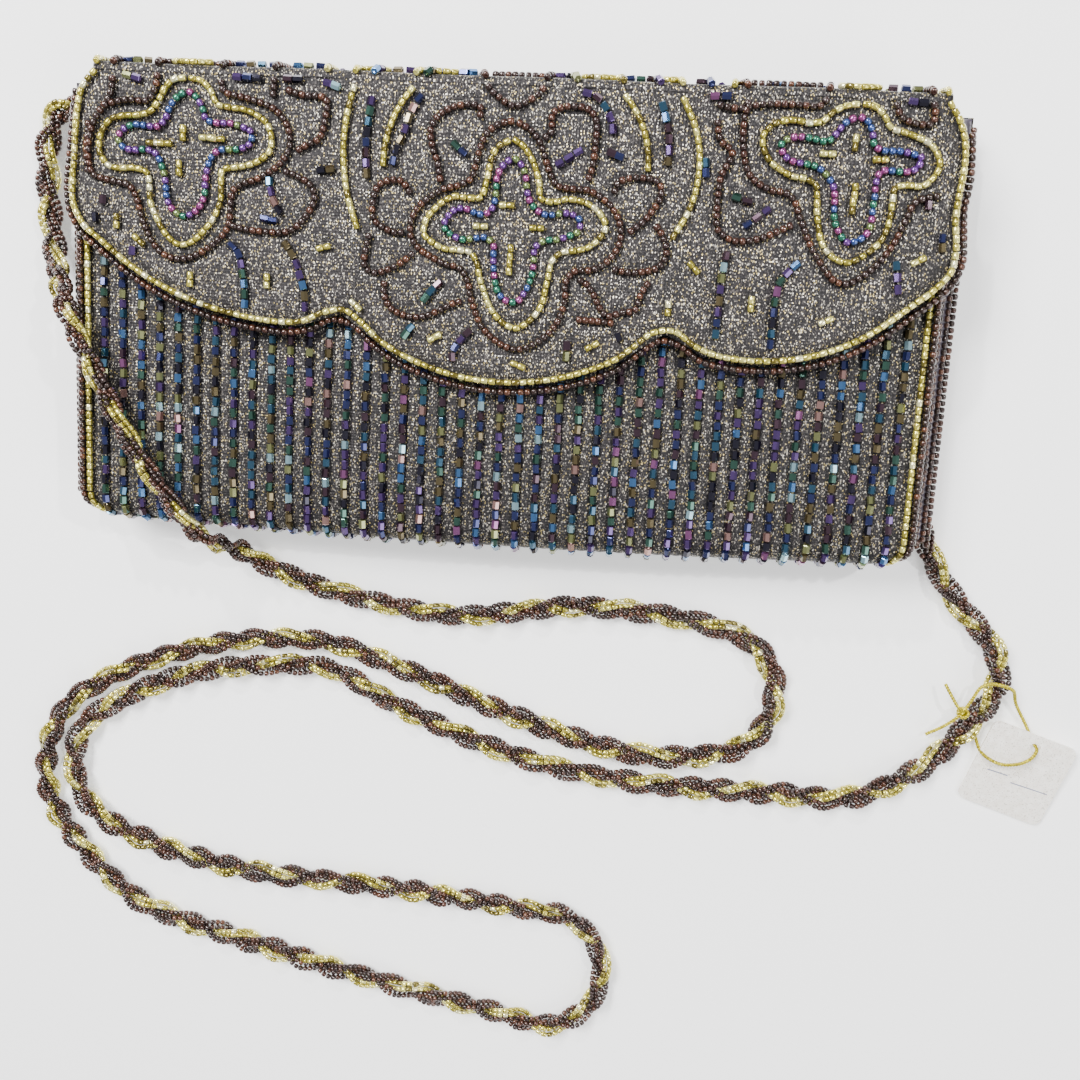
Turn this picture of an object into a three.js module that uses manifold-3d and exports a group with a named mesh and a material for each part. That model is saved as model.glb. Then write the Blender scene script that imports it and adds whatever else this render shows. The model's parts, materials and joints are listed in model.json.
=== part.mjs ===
// A beaded evening clutch, lying on its back with the flap closed and its rope strap laid out below it.
// Millimetres. +Z is up, +X runs across the bag, +Y runs up the bag to the fold of the flap.
// The origin is under the middle of the back, on the plane that the bag rests on.
import * as THREE from 'three';
import { mergeVertices } from 'three/addons/utils/BufferGeometryUtils.js';
import Module from 'manifold-3d';

const wasm = await Module();
wasm.setup();

// ---- Driving dimensions -------------------------------------------------------------------------
const GAP = 0.3; // between neighbouring pieces

// Body: one cover folded round the bottom, wider at the back than at the front
const BACK_HALF = 109.6;
const FRONT_HALF = 104;
const BACK_Z = 1.8; // outside of the back cover, above its beadwork
const FRONT_Z = 18.8; // outside of the front cover
const BACK_TOP_Y = 53;
const MOUTH_Y = 46; // top edge of the front, under the flap
const BEND_Y = -48; // where the bottom starts to curve, at the sides
const BOTTOM_BOW = 2.6; // how much lower the bottom is in the middle
const BASE_DEPTH = 5.2; // from the bend to the bottom edge
const BASE_SQUARENESS = 0.72; // 1 is a plain ellipse, less is squarer
const EDGE_LIFT = 5.6; // the back's side margins stand off the table by this much
const FLAT_HALF = 72; // the back is flat inside this half-width
const LIFTED_HALF = 96; // and fully lifted outside this one

// Layers, as depths below the outside of the cover
const COVER = [0, 0.8];
const BOARD = [1.1, 2.3];
const LINING = [2.6, 3.1];
const BEADWORK = [-1.8, -0.3];
const BOARD_MARGIN = 4; // the boards stop this far short of the cover's edges
const LINING_MARGIN = 5;
const BEADWORK_MARGIN = 11;
const GUSSET_FABRIC = 1;
const GUSSET_FOLD = 1.9; // how far the gusset folds inwards

// Flap and the strip that joins it to the back
const FOLD_Y = 53.4; // both folds
const REAR_FOLD_Z = 4.8;
const FRONT_FOLD_Z = 21.2;
const FLAP_TOP_Y = 52.6;
const FLAP_LINING_Z = 21.3;
const FLAP_BOARD_Z = 22.1;
const FLAP_COVER_Z = 23.2;
const FLAP_Z = 24; // outside of the flap
const SPINE_HALF = 101;
const SPINE_BULGE = 0.8;

// Beads and cord
const SEED_RADIUS = 0.8;
const ROW_PITCH = 4.75; // between the rows of cut beads on the front
const ROW_COUNT = 42;
const ROW_WIDTH = 1.75;
const ROW_TOP_Y = 42;
const SNAP = [3, -1]; // middle of the magnetic snap
const SNAP_CLEARANCE = 9;

// Strap: a braided rope, oval in section
const STRAP_HALF_WIDTH = 2.8;
const STRAP_HALF_THICKNESS = 2.3;
const STRAP_STEPS = 170;
const TABLE_STRAP_Z = 2.6;

// Tag
const TAG_WIDTH = 23;
const TAG_HEIGHT = 23.5;
const TAG_THICKNESS = 0.6;
const TAG_CORNER = 2;
const TAG_HOLE = { radius: 1.3, fromLeft: 12.5, fromTop: 3.4 };
const TAG_PLACE = [145.1, -101.6, 2.3];
const TAG_TURN = -17.5;
const TAG_TILT = 5;
const CORD_RADIUS = 0.45;
const CORD_LOOP = { centre: [131.9, -88.6, 4.1], radius: 3.6, along: [0.34, 0.94, 0] };

// ---- Outlines -----------------------------------------------------------------------------------
// Middle line of the gold row round the flap: down the left side, three scallops, up the right side.
const LEFT_CUSP = [-36.4, 0.4];
const RIGHT_CUSP = [40.4, -0.2];
const FLAP_EDGE = [
  [-96.5, 52.6], [-100, 48], [-102, 31], [-102.4, 23], [-100.6, 18.2],
  ...arcThrough([-97, 15], [-72, 0.4], [-47, -3.1], 4),
  ...arcThrough(LEFT_CUSP, [3, -14.6], RIGHT_CUSP, 6),
  ...arcThrough([50, -4.9], [73, -5], [95, 7.2], 4),
  [102.8, 14.2], [104.4, 18], [103.5, 29], [104.2, 38], [103.4, 46], [99.5, 52.6],
];

// Closed outlines of the three crosses, clockwise from the top lobe. Each lobe has a waist on both
// sides, two shoulders and a tip.
const CROSSES = {
  left: {
    gold: [
      [-74, 51.4], [-69.5, 50], [-67.3, 46], [-59.1, 44.4], [-54.6, 41], [-54.6, 35.4], [-60, 32.2],
      [-65.7, 30.9], [-65.9, 25], [-68, 19.5], [-74.8, 13.4], [-78.6, 15], [-83, 22.6], [-84.3, 30],
      [-93.5, 31], [-95.8, 35.5], [-93, 41.4], [-83.5, 43.4], [-80.6, 47], [-78.4, 50.6],
    ],
    iris: [
      [-74.3, 48.6], [-71.2, 46], [-69.4, 42], [-63, 41.5], [-58.2, 39], [-60.6, 36.3], [-67.5, 35],
      [-69.6, 30], [-70.4, 23.6], [-74.6, 20], [-78.6, 22.6], [-79.8, 29.5], [-82.5, 34.6],
      [-89.6, 35], [-91, 38.2], [-87.4, 40.4], [-80.6, 40.6], [-78, 45.6],
    ],
    petals: [
      [-92.4, 51.4], [-93, 47], [-97, 41], [-98.4, 35], [-97.4, 29], [-93, 27.6], [-87.9, 26.2],
      [-84.3, 17], [-80.4, 11.4], [-75, 10.2], [-69, 13], [-64.2, 18], [-62.9, 26.6], [-56.4, 29.8],
      [-51.5, 33.5], [-49.5, 38.5], [-52.4, 44.4], [-60, 47.4], [-65.4, 48.6], [-66.4, 51.4],
    ],
  },
  centre: {
    gold: [
      [2.7, 40.8], [6.4, 37.8], [9, 32.5], [10.4, 27.2], [17, 28], [22.4, 26.2], [25.2, 22],
      [21.4, 17.4], [13.9, 15.1], [12.4, 9.5], [10.8, 2.6], [5.2, -1.9], [0, 1.6], [-3.4, 9],
      [-5.6, 14.8], [-13, 15.8], [-17.5, 19.6], [-13.4, 25.8], [-8.8, 27.7], [-4.4, 27],
      [-2.8, 32], [-1.4, 38],
    ],
    iris: [
      [3, 36.8], [5.6, 34], [7.2, 27.4], [10.6, 24.3], [17, 24.7], [19.8, 22], [15.6, 19.2],
      [9.6, 17.6], [8.8, 11], [7.2, 6.4], [4.4, 3.8], [1, 6.2], [-0.4, 12], [-1.4, 18.2],
      [-9, 18], [-12.6, 21], [-9, 24.9], [-2.6, 23.6], [-0.8, 27], [-0.3, 33],
    ],
    petals: [
      [2.8, 44.8], [-3.4, 41.8], [-5.6, 35], [-7, 31], [-13.7, 28.6], [-19.8, 23], [-19.8, 17],
      [-12.8, 12.4], [-7.4, 10.6], [-5.3, 4.4], [-1.9, -2.6], [5.9, -6.8], [13.6, -2.4],
      [16.6, 4], [17.4, 11.4], [24, 12.8], [28.6, 18.6], [27.4, 25.2], [21, 30], [13.4, 30.8],
      [11, 35], [8.4, 41],
    ],
  },
  right: {
    gold: [
      [80.6, 51.4], [85, 50], [86.8, 46.9], [91.7, 45.3], [96.8, 43], [98.8, 38.5], [95.6, 34.4],
      [89.9, 34], [89.2, 28], [87.6, 22], [80.2, 16.8], [75, 20], [72.9, 27], [71.6, 34],
      [65.8, 35.5], [60.4, 39.4], [59.6, 44.6], [64.4, 47.3], [71.6, 47], [75.2, 50],
    ],
    iris: [
      [80, 48.8], [82.8, 47], [84.6, 42], [91, 41.5], [95.4, 39.6], [92, 37.3], [86, 37],
      [85.2, 30.6], [84.4, 23.6], [80.4, 21.2], [77, 25.6], [75.9, 33.4], [72, 37.4],
      [65.6, 38.8], [63.2, 41.8], [66.6, 43.8], [74.6, 43.4], [76.6, 46.6],
    ],
    petals: [
      [55.4, 51.4], [54.8, 46.6], [55.2, 40.4], [57.1, 35], [61.4, 32.2], [66.6, 31], [69.2, 26],
      [73.2, 18.4], [79.6, 12], [85.8, 15.2], [90.2, 21], [92.6, 26.6], [94.4, 30.8],
      [99.6, 32.4],
    ],
  },
};

// Gold arcs on either side of the middle cross, from the fold down: where each starts, bulges and ends.
const ARCS = {
  left_outer_arc: [[-34.6, 51.4], [-36.8, 35], [-33, 19]],
  left_inner_arc: [[-20.8, 51.4], [-25.6, 43.6], [-27.4, 33.4]],
  right_inner_arc: [[27.6, 51.4], [32.4, 44], [34, 34.8]],
  right_outer_arc: [[40.7, 51.4], [45.6, 36], [40.4, 20]],
};

// Middle line of the strap. A third number is a height; without one the strap lies on the table.
const STRAP_PATH = [
  // from under the back's top left corner, and down beside the bag
  [-102, 46.4, 3.4], [-106.5, 47.4, 3.4], [-112.5, 48.8, 3.2], [-118, 46, 3], [-120, 38, 3], [-120, 24, 3.2],
  // up over the side, across the front and off its bottom edge
  [-117, 12, 6.5], [-111, 4.5, 15.4], [-105, -3, 23.8], [-99, -15, 24.2], [-88, -36, 24.2], [-79, -48.5, 24],
  [-74.5, -54.5, 22.8], [-71.5, -59, 18], [-69, -61, 12], [-66, -63.5, 6.5], [-61, -67, 3.6],
  // to the right, and round the first turn
  [-45, -72.5], [-10, -77.5], [26, -72.5],
  ...arcThrough([62, -76], [77, -93], [62, -110.5], 5),
  // back to the left, over a low crest, and round the wide turn
  [40, -112], [14, -106], [-24, -93],
  ...arcThrough([-45, -87.5], [-68, -88.8], [-90, -95.1], 2),
  ...arcThrough([-109, -104.5], [-124, -128], [-115, -151], 4),
  // the lowest run, and round its end
  [-97, -168], [-60, -178.5],
  ...arcThrough([10, -192.5], [36.5, -177], [14, -160], 5),
  // back to the left, and round inside the wide turn
  [-24, -157], [-72, -155],
  ...arcThrough([-103, -146], [-115.6, -130], [-104.5, -110], 4),
  // along the crest, then down and across to the right
  [-82, -99.4], [-58, -95], [-43, -95], [-24, -104], [10, -115.5], [40, -120], [78, -120],
  // up through the tag's cord, under the right margin and on to the back's top right corner
  ...arcThrough([100, -119], [120, -106.5], [128, -96.5], 2),
  CORD_LOOP.centre, [133.2, -80.8, 3.8], [130, -74], [120, -63.5], [112, -51], [106, -36], [104.2, -20],
  [104.2, 28], [104.2, 40, 3.2], [104.2, 48, 3.4],
];

// ---- Materials ----------------------------------------------------------------------------------
function material(color, roughness, metalness) {
  return new THREE.MeshStandardMaterial({ color, roughness, metalness });
}

const lame = material(0x6a6570, 0.6, 0.3);
const darkFabric = material(0x3b3440, 0.75, 0.1);
const satin = material(0x2a2530, 0.45, 0);
const board = material(0x8c8378, 0.9, 0);
const goldBeads = material(0xc2ac50, 0.25, 0.8);
const brownBeads = material(0x5e3530, 0.3, 0.4);
const irisBeads = material(0x4a4a86, 0.25, 0.6);
const cutBeads = material(0x35405e, 0.25, 0.6);
const steel = material(0xb8b8b8, 0.3, 1);
const card = material(0xe1ded7, 0.85, 0);
const goldCord = material(0xc8ae4a, 0.4, 0.7);

// ---- Helpers ------------------------------------------------------------------------------------
const group = new THREE.Group();

function add(name, geometry, surface, parent = group) {
  const mesh = new THREE.Mesh(geometry, surface.clone());
  mesh.name = name;
  parent.add(mesh);
  return mesh;
}

function span(start, end, count) {
  return Array.from({ length: count + 1 }, (_, i) => start + ((end - start) * i) / count);
}

function smoothstep(value, start, end) {
  const t = THREE.MathUtils.clamp((value - start) / (end - start), 0, 1);
  return t * t * (3 - 2 * t);
}

// Evenly spaced points on the circle through three points, from the first to the last.
function arcThrough([ax, ay], [bx, by], [cx, cy], count) {
  const turn = ax * (by - cy) + bx * (cy - ay) + cx * (ay - by);
  const [a, b, c] = [ax ** 2 + ay ** 2, bx ** 2 + by ** 2, cx ** 2 + cy ** 2];
  const x = (a * (by - cy) + b * (cy - ay) + c * (ay - by)) / (2 * turn);
  const y = (a * (cx - bx) + b * (ax - cx) + c * (bx - ax)) / (2 * turn);
  const start = Math.atan2(ay - y, ax - x);
  const end = Math.atan2(cy - y, cx - x);
  const full = 2 * Math.PI * Math.sign(turn);
  const sweep = (end - start + 2 * full) % full;
  const radius = Math.hypot(ax - x, ay - y);
  return span(start, start + sweep, count).map((angle) => [
    x + radius * Math.cos(angle),
    y + radius * Math.sin(angle),
  ]);
}

// Turns a triangle list so that its faces point out.
function outward(geometry) {
  const p = geometry.attributes.position;
  const index = geometry.index.array;
  const [a, b, c] = [new THREE.Vector3(), new THREE.Vector3(), new THREE.Vector3()];
  let volume = 0;
  for (let i = 0; i < index.length; i += 3) {
    a.fromBufferAttribute(p, index[i]);
    b.fromBufferAttribute(p, index[i + 1]);
    c.fromBufferAttribute(p, index[i + 2]);
    volume += a.dot(b.cross(c));
  }
  if (volume < 0) {
    for (let i = 0; i < index.length; i += 3) {
      [index[i], index[i + 1]] = [index[i + 1], index[i]];
    }
  }
  return geometry;
}

// A closed sheet between two skins, each a function of two parameters taken at the listed values.
function sheet(outer, inner, us, vs) {
  const positions = [];
  for (const skin of [outer, inner]) {
    for (const v of vs) {
      for (const u of us) positions.push(...skin(u, v));
    }
  }
  const columns = us.length;
  const rows = vs.length;
  const at = (skin, column, row) => (skin * rows + row) * columns + column;
  const index = [];
  const quad = (a, b, c, d) => index.push(a, b, c, a, c, d);
  for (let row = 0; row < rows - 1; row++) {
    for (let column = 0; column < columns - 1; column++) {
      const corners = [[column, row], [column + 1, row], [column + 1, row + 1], [column, row + 1]];
      quad(...corners.map(([i, j]) => at(0, i, j)));
      quad(...corners.reverse().map(([i, j]) => at(1, i, j)));
    }
  }
  const rim = [];
  for (let i = 0; i < columns - 1; i++) rim.push([i, 0]);
  for (let j = 0; j < rows - 1; j++) rim.push([columns - 1, j]);
  for (let i = columns - 1; i > 0; i--) rim.push([i, rows - 1]);
  for (let j = rows - 1; j > 0; j--) rim.push([0, j]);
  rim.forEach((from, k) => {
    const to = rim[(k + 1) % rim.length];
    quad(at(0, ...to), at(0, ...from), at(1, ...from), at(1, ...to));
  });
  const geometry = new THREE.BufferGeometry();
  geometry.setAttribute('position', new THREE.Float32BufferAttribute(positions, 3));
  geometry.setIndex(index);
  return outward(geometry);
}

// A flat piece with the given outline between two heights.
function plate(outline, bottom, top, holes = []) {
  const shape = new THREE.Shape(outline.map(([x, y]) => new THREE.Vector2(x, y)));
  for (const { x, y, radius } of holes) {
    shape.holes.push(new THREE.Path().absarc(x, y, radius, 0, 2 * Math.PI));
  }
  const geometry = new THREE.ExtrudeGeometry(shape, {
    depth: top - bottom,
    bevelEnabled: false,
    curveSegments: 10,
  });
  return geometry.translate(0, 0, bottom);
}

// A tube along a curve, with a ridge on top. Its section is a polygon in an oval.
function tube(curve, steps, halfWidth, halfHeight, sides) {
  const section = span(0, 2 * Math.PI, sides)
    .slice(0, sides)
    .map((angle) => new THREE.Vector2(halfHeight * Math.cos(angle), halfWidth * Math.sin(angle)));
  return new THREE.ExtrudeGeometry(new THREE.Shape(section), {
    steps,
    bevelEnabled: false,
    extrudePath: curve,
  });
}

function curveThrough(points, height, closed = false) {
  const places = points.map(([x, y, z = height]) => new THREE.Vector3(x, y, z));
  return new THREE.CatmullRomCurve3(places, closed, 'centripetal');
}

// A string of beads sewn along an open line.
function beadString(points, height, steps = 2 * points.length) {
  return tube(curveThrough(points, height), steps, SEED_RADIUS, SEED_RADIUS, 4);
}

// A string sewn round in a loop. Its last bead stops just short of its first.
function beadLoop(points, height) {
  const steps = 2 * points.length;
  const round = curveThrough(points, height, true).getSpacedPoints(steps);
  const [last, first] = round.slice(-2);
  round[steps] = first.clone().lerp(last, (2 * GAP) / first.distanceTo(last));
  const places = round.map(({ x, y }) => [x, y]);
  return beadString(places, height, steps);
}

// Moves each point of a line sideways. Positive goes to the right of the line's direction.
function offset(points, distance) {
  return points.map(([x, y], i) => {
    const [x0, y0] = points[Math.max(i - 1, 0)];
    const [x1, y1] = points[Math.min(i + 1, points.length - 1)];
    const length = Math.hypot(x1 - x0, y1 - y0);
    return [x + (distance * (y1 - y0)) / length, y - (distance * (x1 - x0)) / length];
  });
}

function solid(geometry) {
  geometry.deleteAttribute('normal');
  geometry.deleteAttribute('uv');
  const merged = mergeVertices(geometry, 1e-4);
  return new wasm.Manifold(
    new wasm.Mesh({
      numProp: 3,
      vertProperties: merged.attributes.position.array,
      triVerts: Uint32Array.from(merged.index.array),
    }),
  );
}

function joined(geometries) {
  const { vertProperties, triVerts } = geometries.map(solid).reduce((a, b) => a.add(b)).getMesh();
  const geometry = new THREE.BufferGeometry();
  geometry.setAttribute('position', new THREE.BufferAttribute(vertProperties, 3));
  geometry.setIndex(new THREE.BufferAttribute(triVerts, 1));
  return geometry;
}

// ---- Body ---------------------------------------------------------------------------------------
function backLift(x) {
  return EDGE_LIFT * smoothstep(Math.abs(x), FLAT_HALF, LIFTED_HALF);
}

function bendY(x) {
  return BEND_Y - BOTTOM_BOW * Math.max(0, 1 - (x / FRONT_HALF) ** 2);
}

// A point of the folded body at a depth below the cover's outside. The way round v is 0 to 1 down the
// back, 1 to 2 round the base and 2 to 3 up the front.
function bodyPoint(x, v, depth) {
  const low = BACK_Z + backLift(x) + depth;
  const high = FRONT_Z - depth;
  const bend = bendY(x);
  if (v <= 1) return [x, THREE.MathUtils.lerp(BACK_TOP_Y, bend, v), low];
  if (v >= 2) return [x, THREE.MathUtils.lerp(bend, MOUTH_Y, v - 2), high];
  const angle = (v - 1.5) * Math.PI;
  const squared = (value) => Math.sign(value) * Math.abs(value) ** BASE_SQUARENESS;
  const y = bend - (BASE_DEPTH - depth) * squared(Math.cos(angle));
  const z = (low + high) / 2 + ((high - low) / 2) * squared(Math.sin(angle));
  return [x, y, z];
}

function halfWidth(v) {
  return THREE.MathUtils.lerp(BACK_HALF, FRONT_HALF, THREE.MathUtils.clamp(v - 1, 0, 1));
}

// Shares of the half-width at which every layer has a column, so that they bend together.
const INNER_COLUMNS = [0, 0.66, 0.7, 0.74, 0.79, 0.84, 0.88];

// One layer of the body between two depths, over part of the way round.
function bodyLayer([near, far], margin, ways) {
  const right = [...INNER_COLUMNS, 1];
  const columns = [...right.slice(1).reverse().map((u) => -u), ...right];
  const across = (u, v) => Math.sign(u) * Math.min(Math.abs(u) * halfWidth(v), halfWidth(v) - margin);
  const skin = (depth) => (u, v) => bodyPoint(across(u, v), v, depth);
  return sheet(skin(near), skin(far), columns, ways);
}

const ROUND_BASE = span(1, 2, 8);

function buildBody() {
  add('body_cover', bodyLayer(COVER, 0, [0, ...ROUND_BASE, 3]), lame);
  add('back_board', bodyLayer(BOARD, BOARD_MARGIN, [0.03, 0.97]), board);
  add('base_board', bodyLayer(BOARD, BOARD_MARGIN, span(1.08, 1.92, 6)), board);
  add('body_lining', bodyLayer(LINING, LINING_MARGIN, [0.02, ...ROUND_BASE, 2.98]), satin);
  add('back_beadwork', bodyLayer(BEADWORK, BEADWORK_MARGIN, [0.01, 0.97]), cutBeads);
  add('base_beadwork', bodyLayer(BEADWORK, BEADWORK_MARGIN, ROUND_BASE), cutBeads);

  const boardHalf = FRONT_HALF - BOARD_MARGIN;
  const boardOutline = [
    [-boardHalf, BEND_Y], [boardHalf, BEND_Y], [boardHalf, MOUTH_Y - 2], [-boardHalf, MOUTH_Y - 2],
  ];
  const [boardNear, boardFar] = BOARD;
  const seat = { x: SNAP[0], y: SNAP[1], radius: 8.3 };
  add('front_board', plate(boardOutline, FRONT_Z - boardFar, FRONT_Z - boardNear, [seat]), board);

  add('mouth_piping', beadString([[-102, 47.4], [0, 47.4], [102, 47.4]], 17.9, 2), darkFabric);
}

// Rows of cut beads up the front, joined along the bottom by the thread they are sewn on.
function buildFrontBeadwork() {
  const firstRow = (-ROW_PITCH * (ROW_COUNT - 1)) / 2;
  const bottom = BEND_Y + GAP;
  const outline = [[-firstRow + ROW_WIDTH, bottom], [firstRow - ROW_WIDTH, bottom]];
  for (let i = 0; i < ROW_COUNT; i++) {
    const x = firstRow + i * ROW_PITCH;
    const shortened = Math.abs(x - SNAP[0]) < SNAP_CLEARANCE;
    const top = shortened ? SNAP[1] - SNAP_CLEARANCE : ROW_TOP_Y;
    const left = x - ROW_WIDTH / 2;
    const right = x + ROW_WIDTH / 2;
    outline.push([left, bottom + 0.8], [left, top], [right, top], [right, bottom + 0.8]);
  }
  const [near, far] = BEADWORK;
  add('front_beadwork', plate(outline, FRONT_Z - far, FRONT_Z - near), cutBeads);
}

// The edge rows, with the narrow gusset between the back and the front on each side.
function buildSide(side, sign) {
  const [, coverInside] = COVER;
  const bottomY = BEND_Y - BASE_DEPTH + coverInside + GAP;
  const ys = [MOUTH_Y + 1, 0, BEND_Y + 2, BEND_Y, BEND_Y - 2, bottomY + 0.9, bottomY];
  const low = BACK_Z + EDGE_LIFT + coverInside + GAP;
  const high = FRONT_Z - coverInside - GAP;
  const skin = (inside) => (t, y) => {
    const down = THREE.MathUtils.clamp((BEND_Y - y) / (BEND_Y - bottomY), 0, 1);
    const open = Math.sqrt(1 - down ** 2) * 0.92 + 0.08;
    const fold = GUSSET_FOLD * Math.sin(Math.PI * t) * open;
    const x = THREE.MathUtils.lerp(BACK_HALF - 1, FRONT_HALF - 0.6, t) - fold - inside;
    const z = (low + high) / 2 + (t - 0.5) * (high - low) * open;
    return [sign * x, y, z];
  };
  add(`${side}_gusset`, sheet(skin(0), skin(GUSSET_FABRIC), span(0, 1, 6), ys), darkFabric);

  const line = (x, bottom, top) => [[sign * x, bottom], [sign * x, (bottom + top) / 2], [sign * x, top]];
  const onFront = FRONT_Z + GAP + SEED_RADIUS;
  const goldX = FRONT_HALF - 2.6;
  const brownX = goldX + 2 * SEED_RADIUS + GAP;
  add(`${side}_front_gold_row`, beadString(line(goldX, BEND_Y, MOUTH_Y), onFront, 2), goldBeads);
  add(`${side}_front_brown_row`, beadString(line(brownX, BEND_Y, MOUTH_Y), onFront, 2), brownBeads);
  const edgeX = BACK_HALF + GAP + SEED_RADIUS + 0.1;
  const backRow = beadString(line(edgeX, BEND_Y - 2, BACK_TOP_Y - 2), BACK_Z + EDGE_LIFT + 0.4, 2);
  add(`${side}_back_brown_row`, backRow, brownBeads);
}

// ---- Flap ---------------------------------------------------------------------------------------
function buildSpine() {
  const zs = span(REAR_FOLD_Z + GAP, FRONT_FOLD_Z - 2 * GAP, 6);
  const [lowest, highest] = [zs[0], zs[6]];
  const skin = (depth) => (x, z) => {
    const t = (z - lowest) / (highest - lowest);
    return [x, FOLD_Y + depth + SPINE_BULGE * Math.sin(Math.PI * t), z];
  };
  const strip = (near, far, half) => sheet(skin(near), skin(far), [-half, half], zs);
  add('spine_lining', strip(0.1, 0.6, SPINE_HALF - 2), satin);
  add('spine_cover', strip(0.9, 1.7, SPINE_HALF), lame);
  add('spine_beadwork', strip(2, 3.5, SPINE_HALF - 6), cutBeads);
}

function buildFlap() {
  const cover = offset(FLAP_EDGE, 1);
  add('flap_cover', plate(cover, FLAP_COVER_Z, FLAP_Z), lame);
  add('flap_lining', plate(offset(FLAP_EDGE, 0.2), FLAP_LINING_Z, FLAP_LINING_Z + 0.5), satin);
  const boardOutline = offset(FLAP_EDGE, -3.5).map(([x, y]) => [x, Math.min(y, FLAP_TOP_Y - 2)]);
  const seat = { x: SNAP[0], y: SNAP[1], radius: 8.3 };
  add('flap_board', plate(boardOutline, FLAP_BOARD_Z, FLAP_BOARD_Z + 0.8, [seat]), board);

  const onFlap = FLAP_Z + GAP + SEED_RADIUS;
  add('flap_gold_row', beadString(FLAP_EDGE, onFlap), goldBeads);
  const lowRow = offset(FLAP_EDGE, 2.3).slice(1, -1);
  add('flap_brown_row', beadString(lowRow, FLAP_Z - 1.2), brownBeads);
  for (const [place, { gold, iris, petals }] of Object.entries(CROSSES)) {
    add(`${place}_cross_gold`, beadLoop(gold, onFlap), goldBeads);
    add(`${place}_cross_iris`, beadLoop(iris, onFlap), irisBeads);
    const petalRow = place === 'centre' ? beadLoop(petals, onFlap) : beadString(petals, onFlap);
    add(`${place}_petal_row`, petalRow, brownBeads);
  }
  for (const [name, [start, bulge, end]] of Object.entries(ARCS)) {
    add(name, beadString(arcThrough(start, bulge, end, 4), onFlap), goldBeads);
  }
}

// The two halves of the magnetic snap, each with a plate let into its board.
function buildSnap() {
  const turned = (profile) => {
    const lathe = new THREE.LatheGeometry(profile.map(([r, z]) => new THREE.Vector2(r, z)), 20);
    return lathe.rotateX(Math.PI / 2).translate(SNAP[0], SNAP[1], 0);
  };
  const disc = (radius, bottom, top) => turned([[0, bottom], [radius, bottom], [radius, top], [0, top]]);
  const socketBottom = FRONT_Z + GAP;
  const socketTop = socketBottom + 1.1;
  const ring = [
    [3.5, socketBottom], [7, socketBottom], [7, socketTop], [3.5, socketTop], [3.5, socketBottom],
  ];
  add('snap_socket', turned(ring), steel);
  const studTop = FLAP_LINING_Z - GAP;
  const studDisc = studTop - 0.5;
  const stud = [
    [0, socketBottom + 0.5], [2.8, socketBottom + 0.5], [2.8, studDisc], [6, studDisc],
    [6, studTop], [0, studTop],
  ];
  add('snap_stud', turned(stud), steel);
  add('snap_socket_plate', disc(8, FRONT_Z - BOARD[1] + 0.1, FRONT_Z - BOARD[0] - 0.1), steel);
  add('snap_stud_plate', disc(8, FLAP_BOARD_Z + 0.05, FLAP_BOARD_Z + 0.75), steel);
}

// ---- Strap --------------------------------------------------------------------------------------
function buildStrap() {
  const path = curveThrough(STRAP_PATH, TABLE_STRAP_Z);
  add('strap', tube(path, STRAP_STEPS, STRAP_HALF_WIDTH, STRAP_HALF_THICKNESS, 6), brownBeads);

  // Each end of the rope is bound by a whipped sleeve, sewn to the back's top corner.
  const sleeve = [[3.3, -2.2], [3.6, -2.2], [3.6, 2.2], [3.3, 2.2], [3.3, -2.2]];
  for (const [side, t] of [['left', 0], ['right', 1]]) {
    const end = path.getPointAt(t ? 1 - 0.0035 : 0.0035);
    const along = path.getTangentAt(t ? 1 - 0.0035 : 0.0035);
    const ring = new THREE.LatheGeometry(sleeve.map(([r, z]) => new THREE.Vector2(r, z)), 12);
    const mesh = add(`${side}_strap_binding`, ring, darkFabric);
    mesh.position.copy(end).setZ(3.65);
    mesh.quaternion.setFromUnitVectors(new THREE.Vector3(0, 1, 0), along.setZ(0).normalize());
  }
}

// ---- Tag ----------------------------------------------------------------------------------------
function buildTag() {
  const { radius, fromLeft, fromTop } = TAG_HOLE;
  const left = -fromLeft;
  const right = left + TAG_WIDTH;
  const top = fromTop;
  const bottom = top - TAG_HEIGHT;
  const shape = new THREE.Shape();
  shape.absarc(right - TAG_CORNER, top - TAG_CORNER, TAG_CORNER, 0, Math.PI / 2);
  shape.absarc(left + TAG_CORNER, top - TAG_CORNER, TAG_CORNER, Math.PI / 2, Math.PI);
  shape.absarc(left + TAG_CORNER, bottom + TAG_CORNER, TAG_CORNER, Math.PI, 1.5 * Math.PI);
  shape.absarc(right - TAG_CORNER, bottom + TAG_CORNER, TAG_CORNER, 1.5 * Math.PI, 2 * Math.PI);
  shape.holes.push(new THREE.Path().absarc(0, 0, radius, 0, 2 * Math.PI));
  const geometry = new THREE.ExtrudeGeometry(shape, {
    depth: TAG_THICKNESS,
    bevelEnabled: false,
    curveSegments: 5,
  });
  const tag = new THREE.Group();
  tag.position.fromArray(TAG_PLACE);
  tag.rotation.order = 'ZXY';
  tag.rotation.z = THREE.MathUtils.degToRad(TAG_TURN);
  tag.rotation.x = THREE.MathUtils.degToRad(TAG_TILT);
  group.add(tag);
  add('tag_card', geometry.translate(0, 0, -TAG_THICKNESS / 2), card, tag);
}

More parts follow.
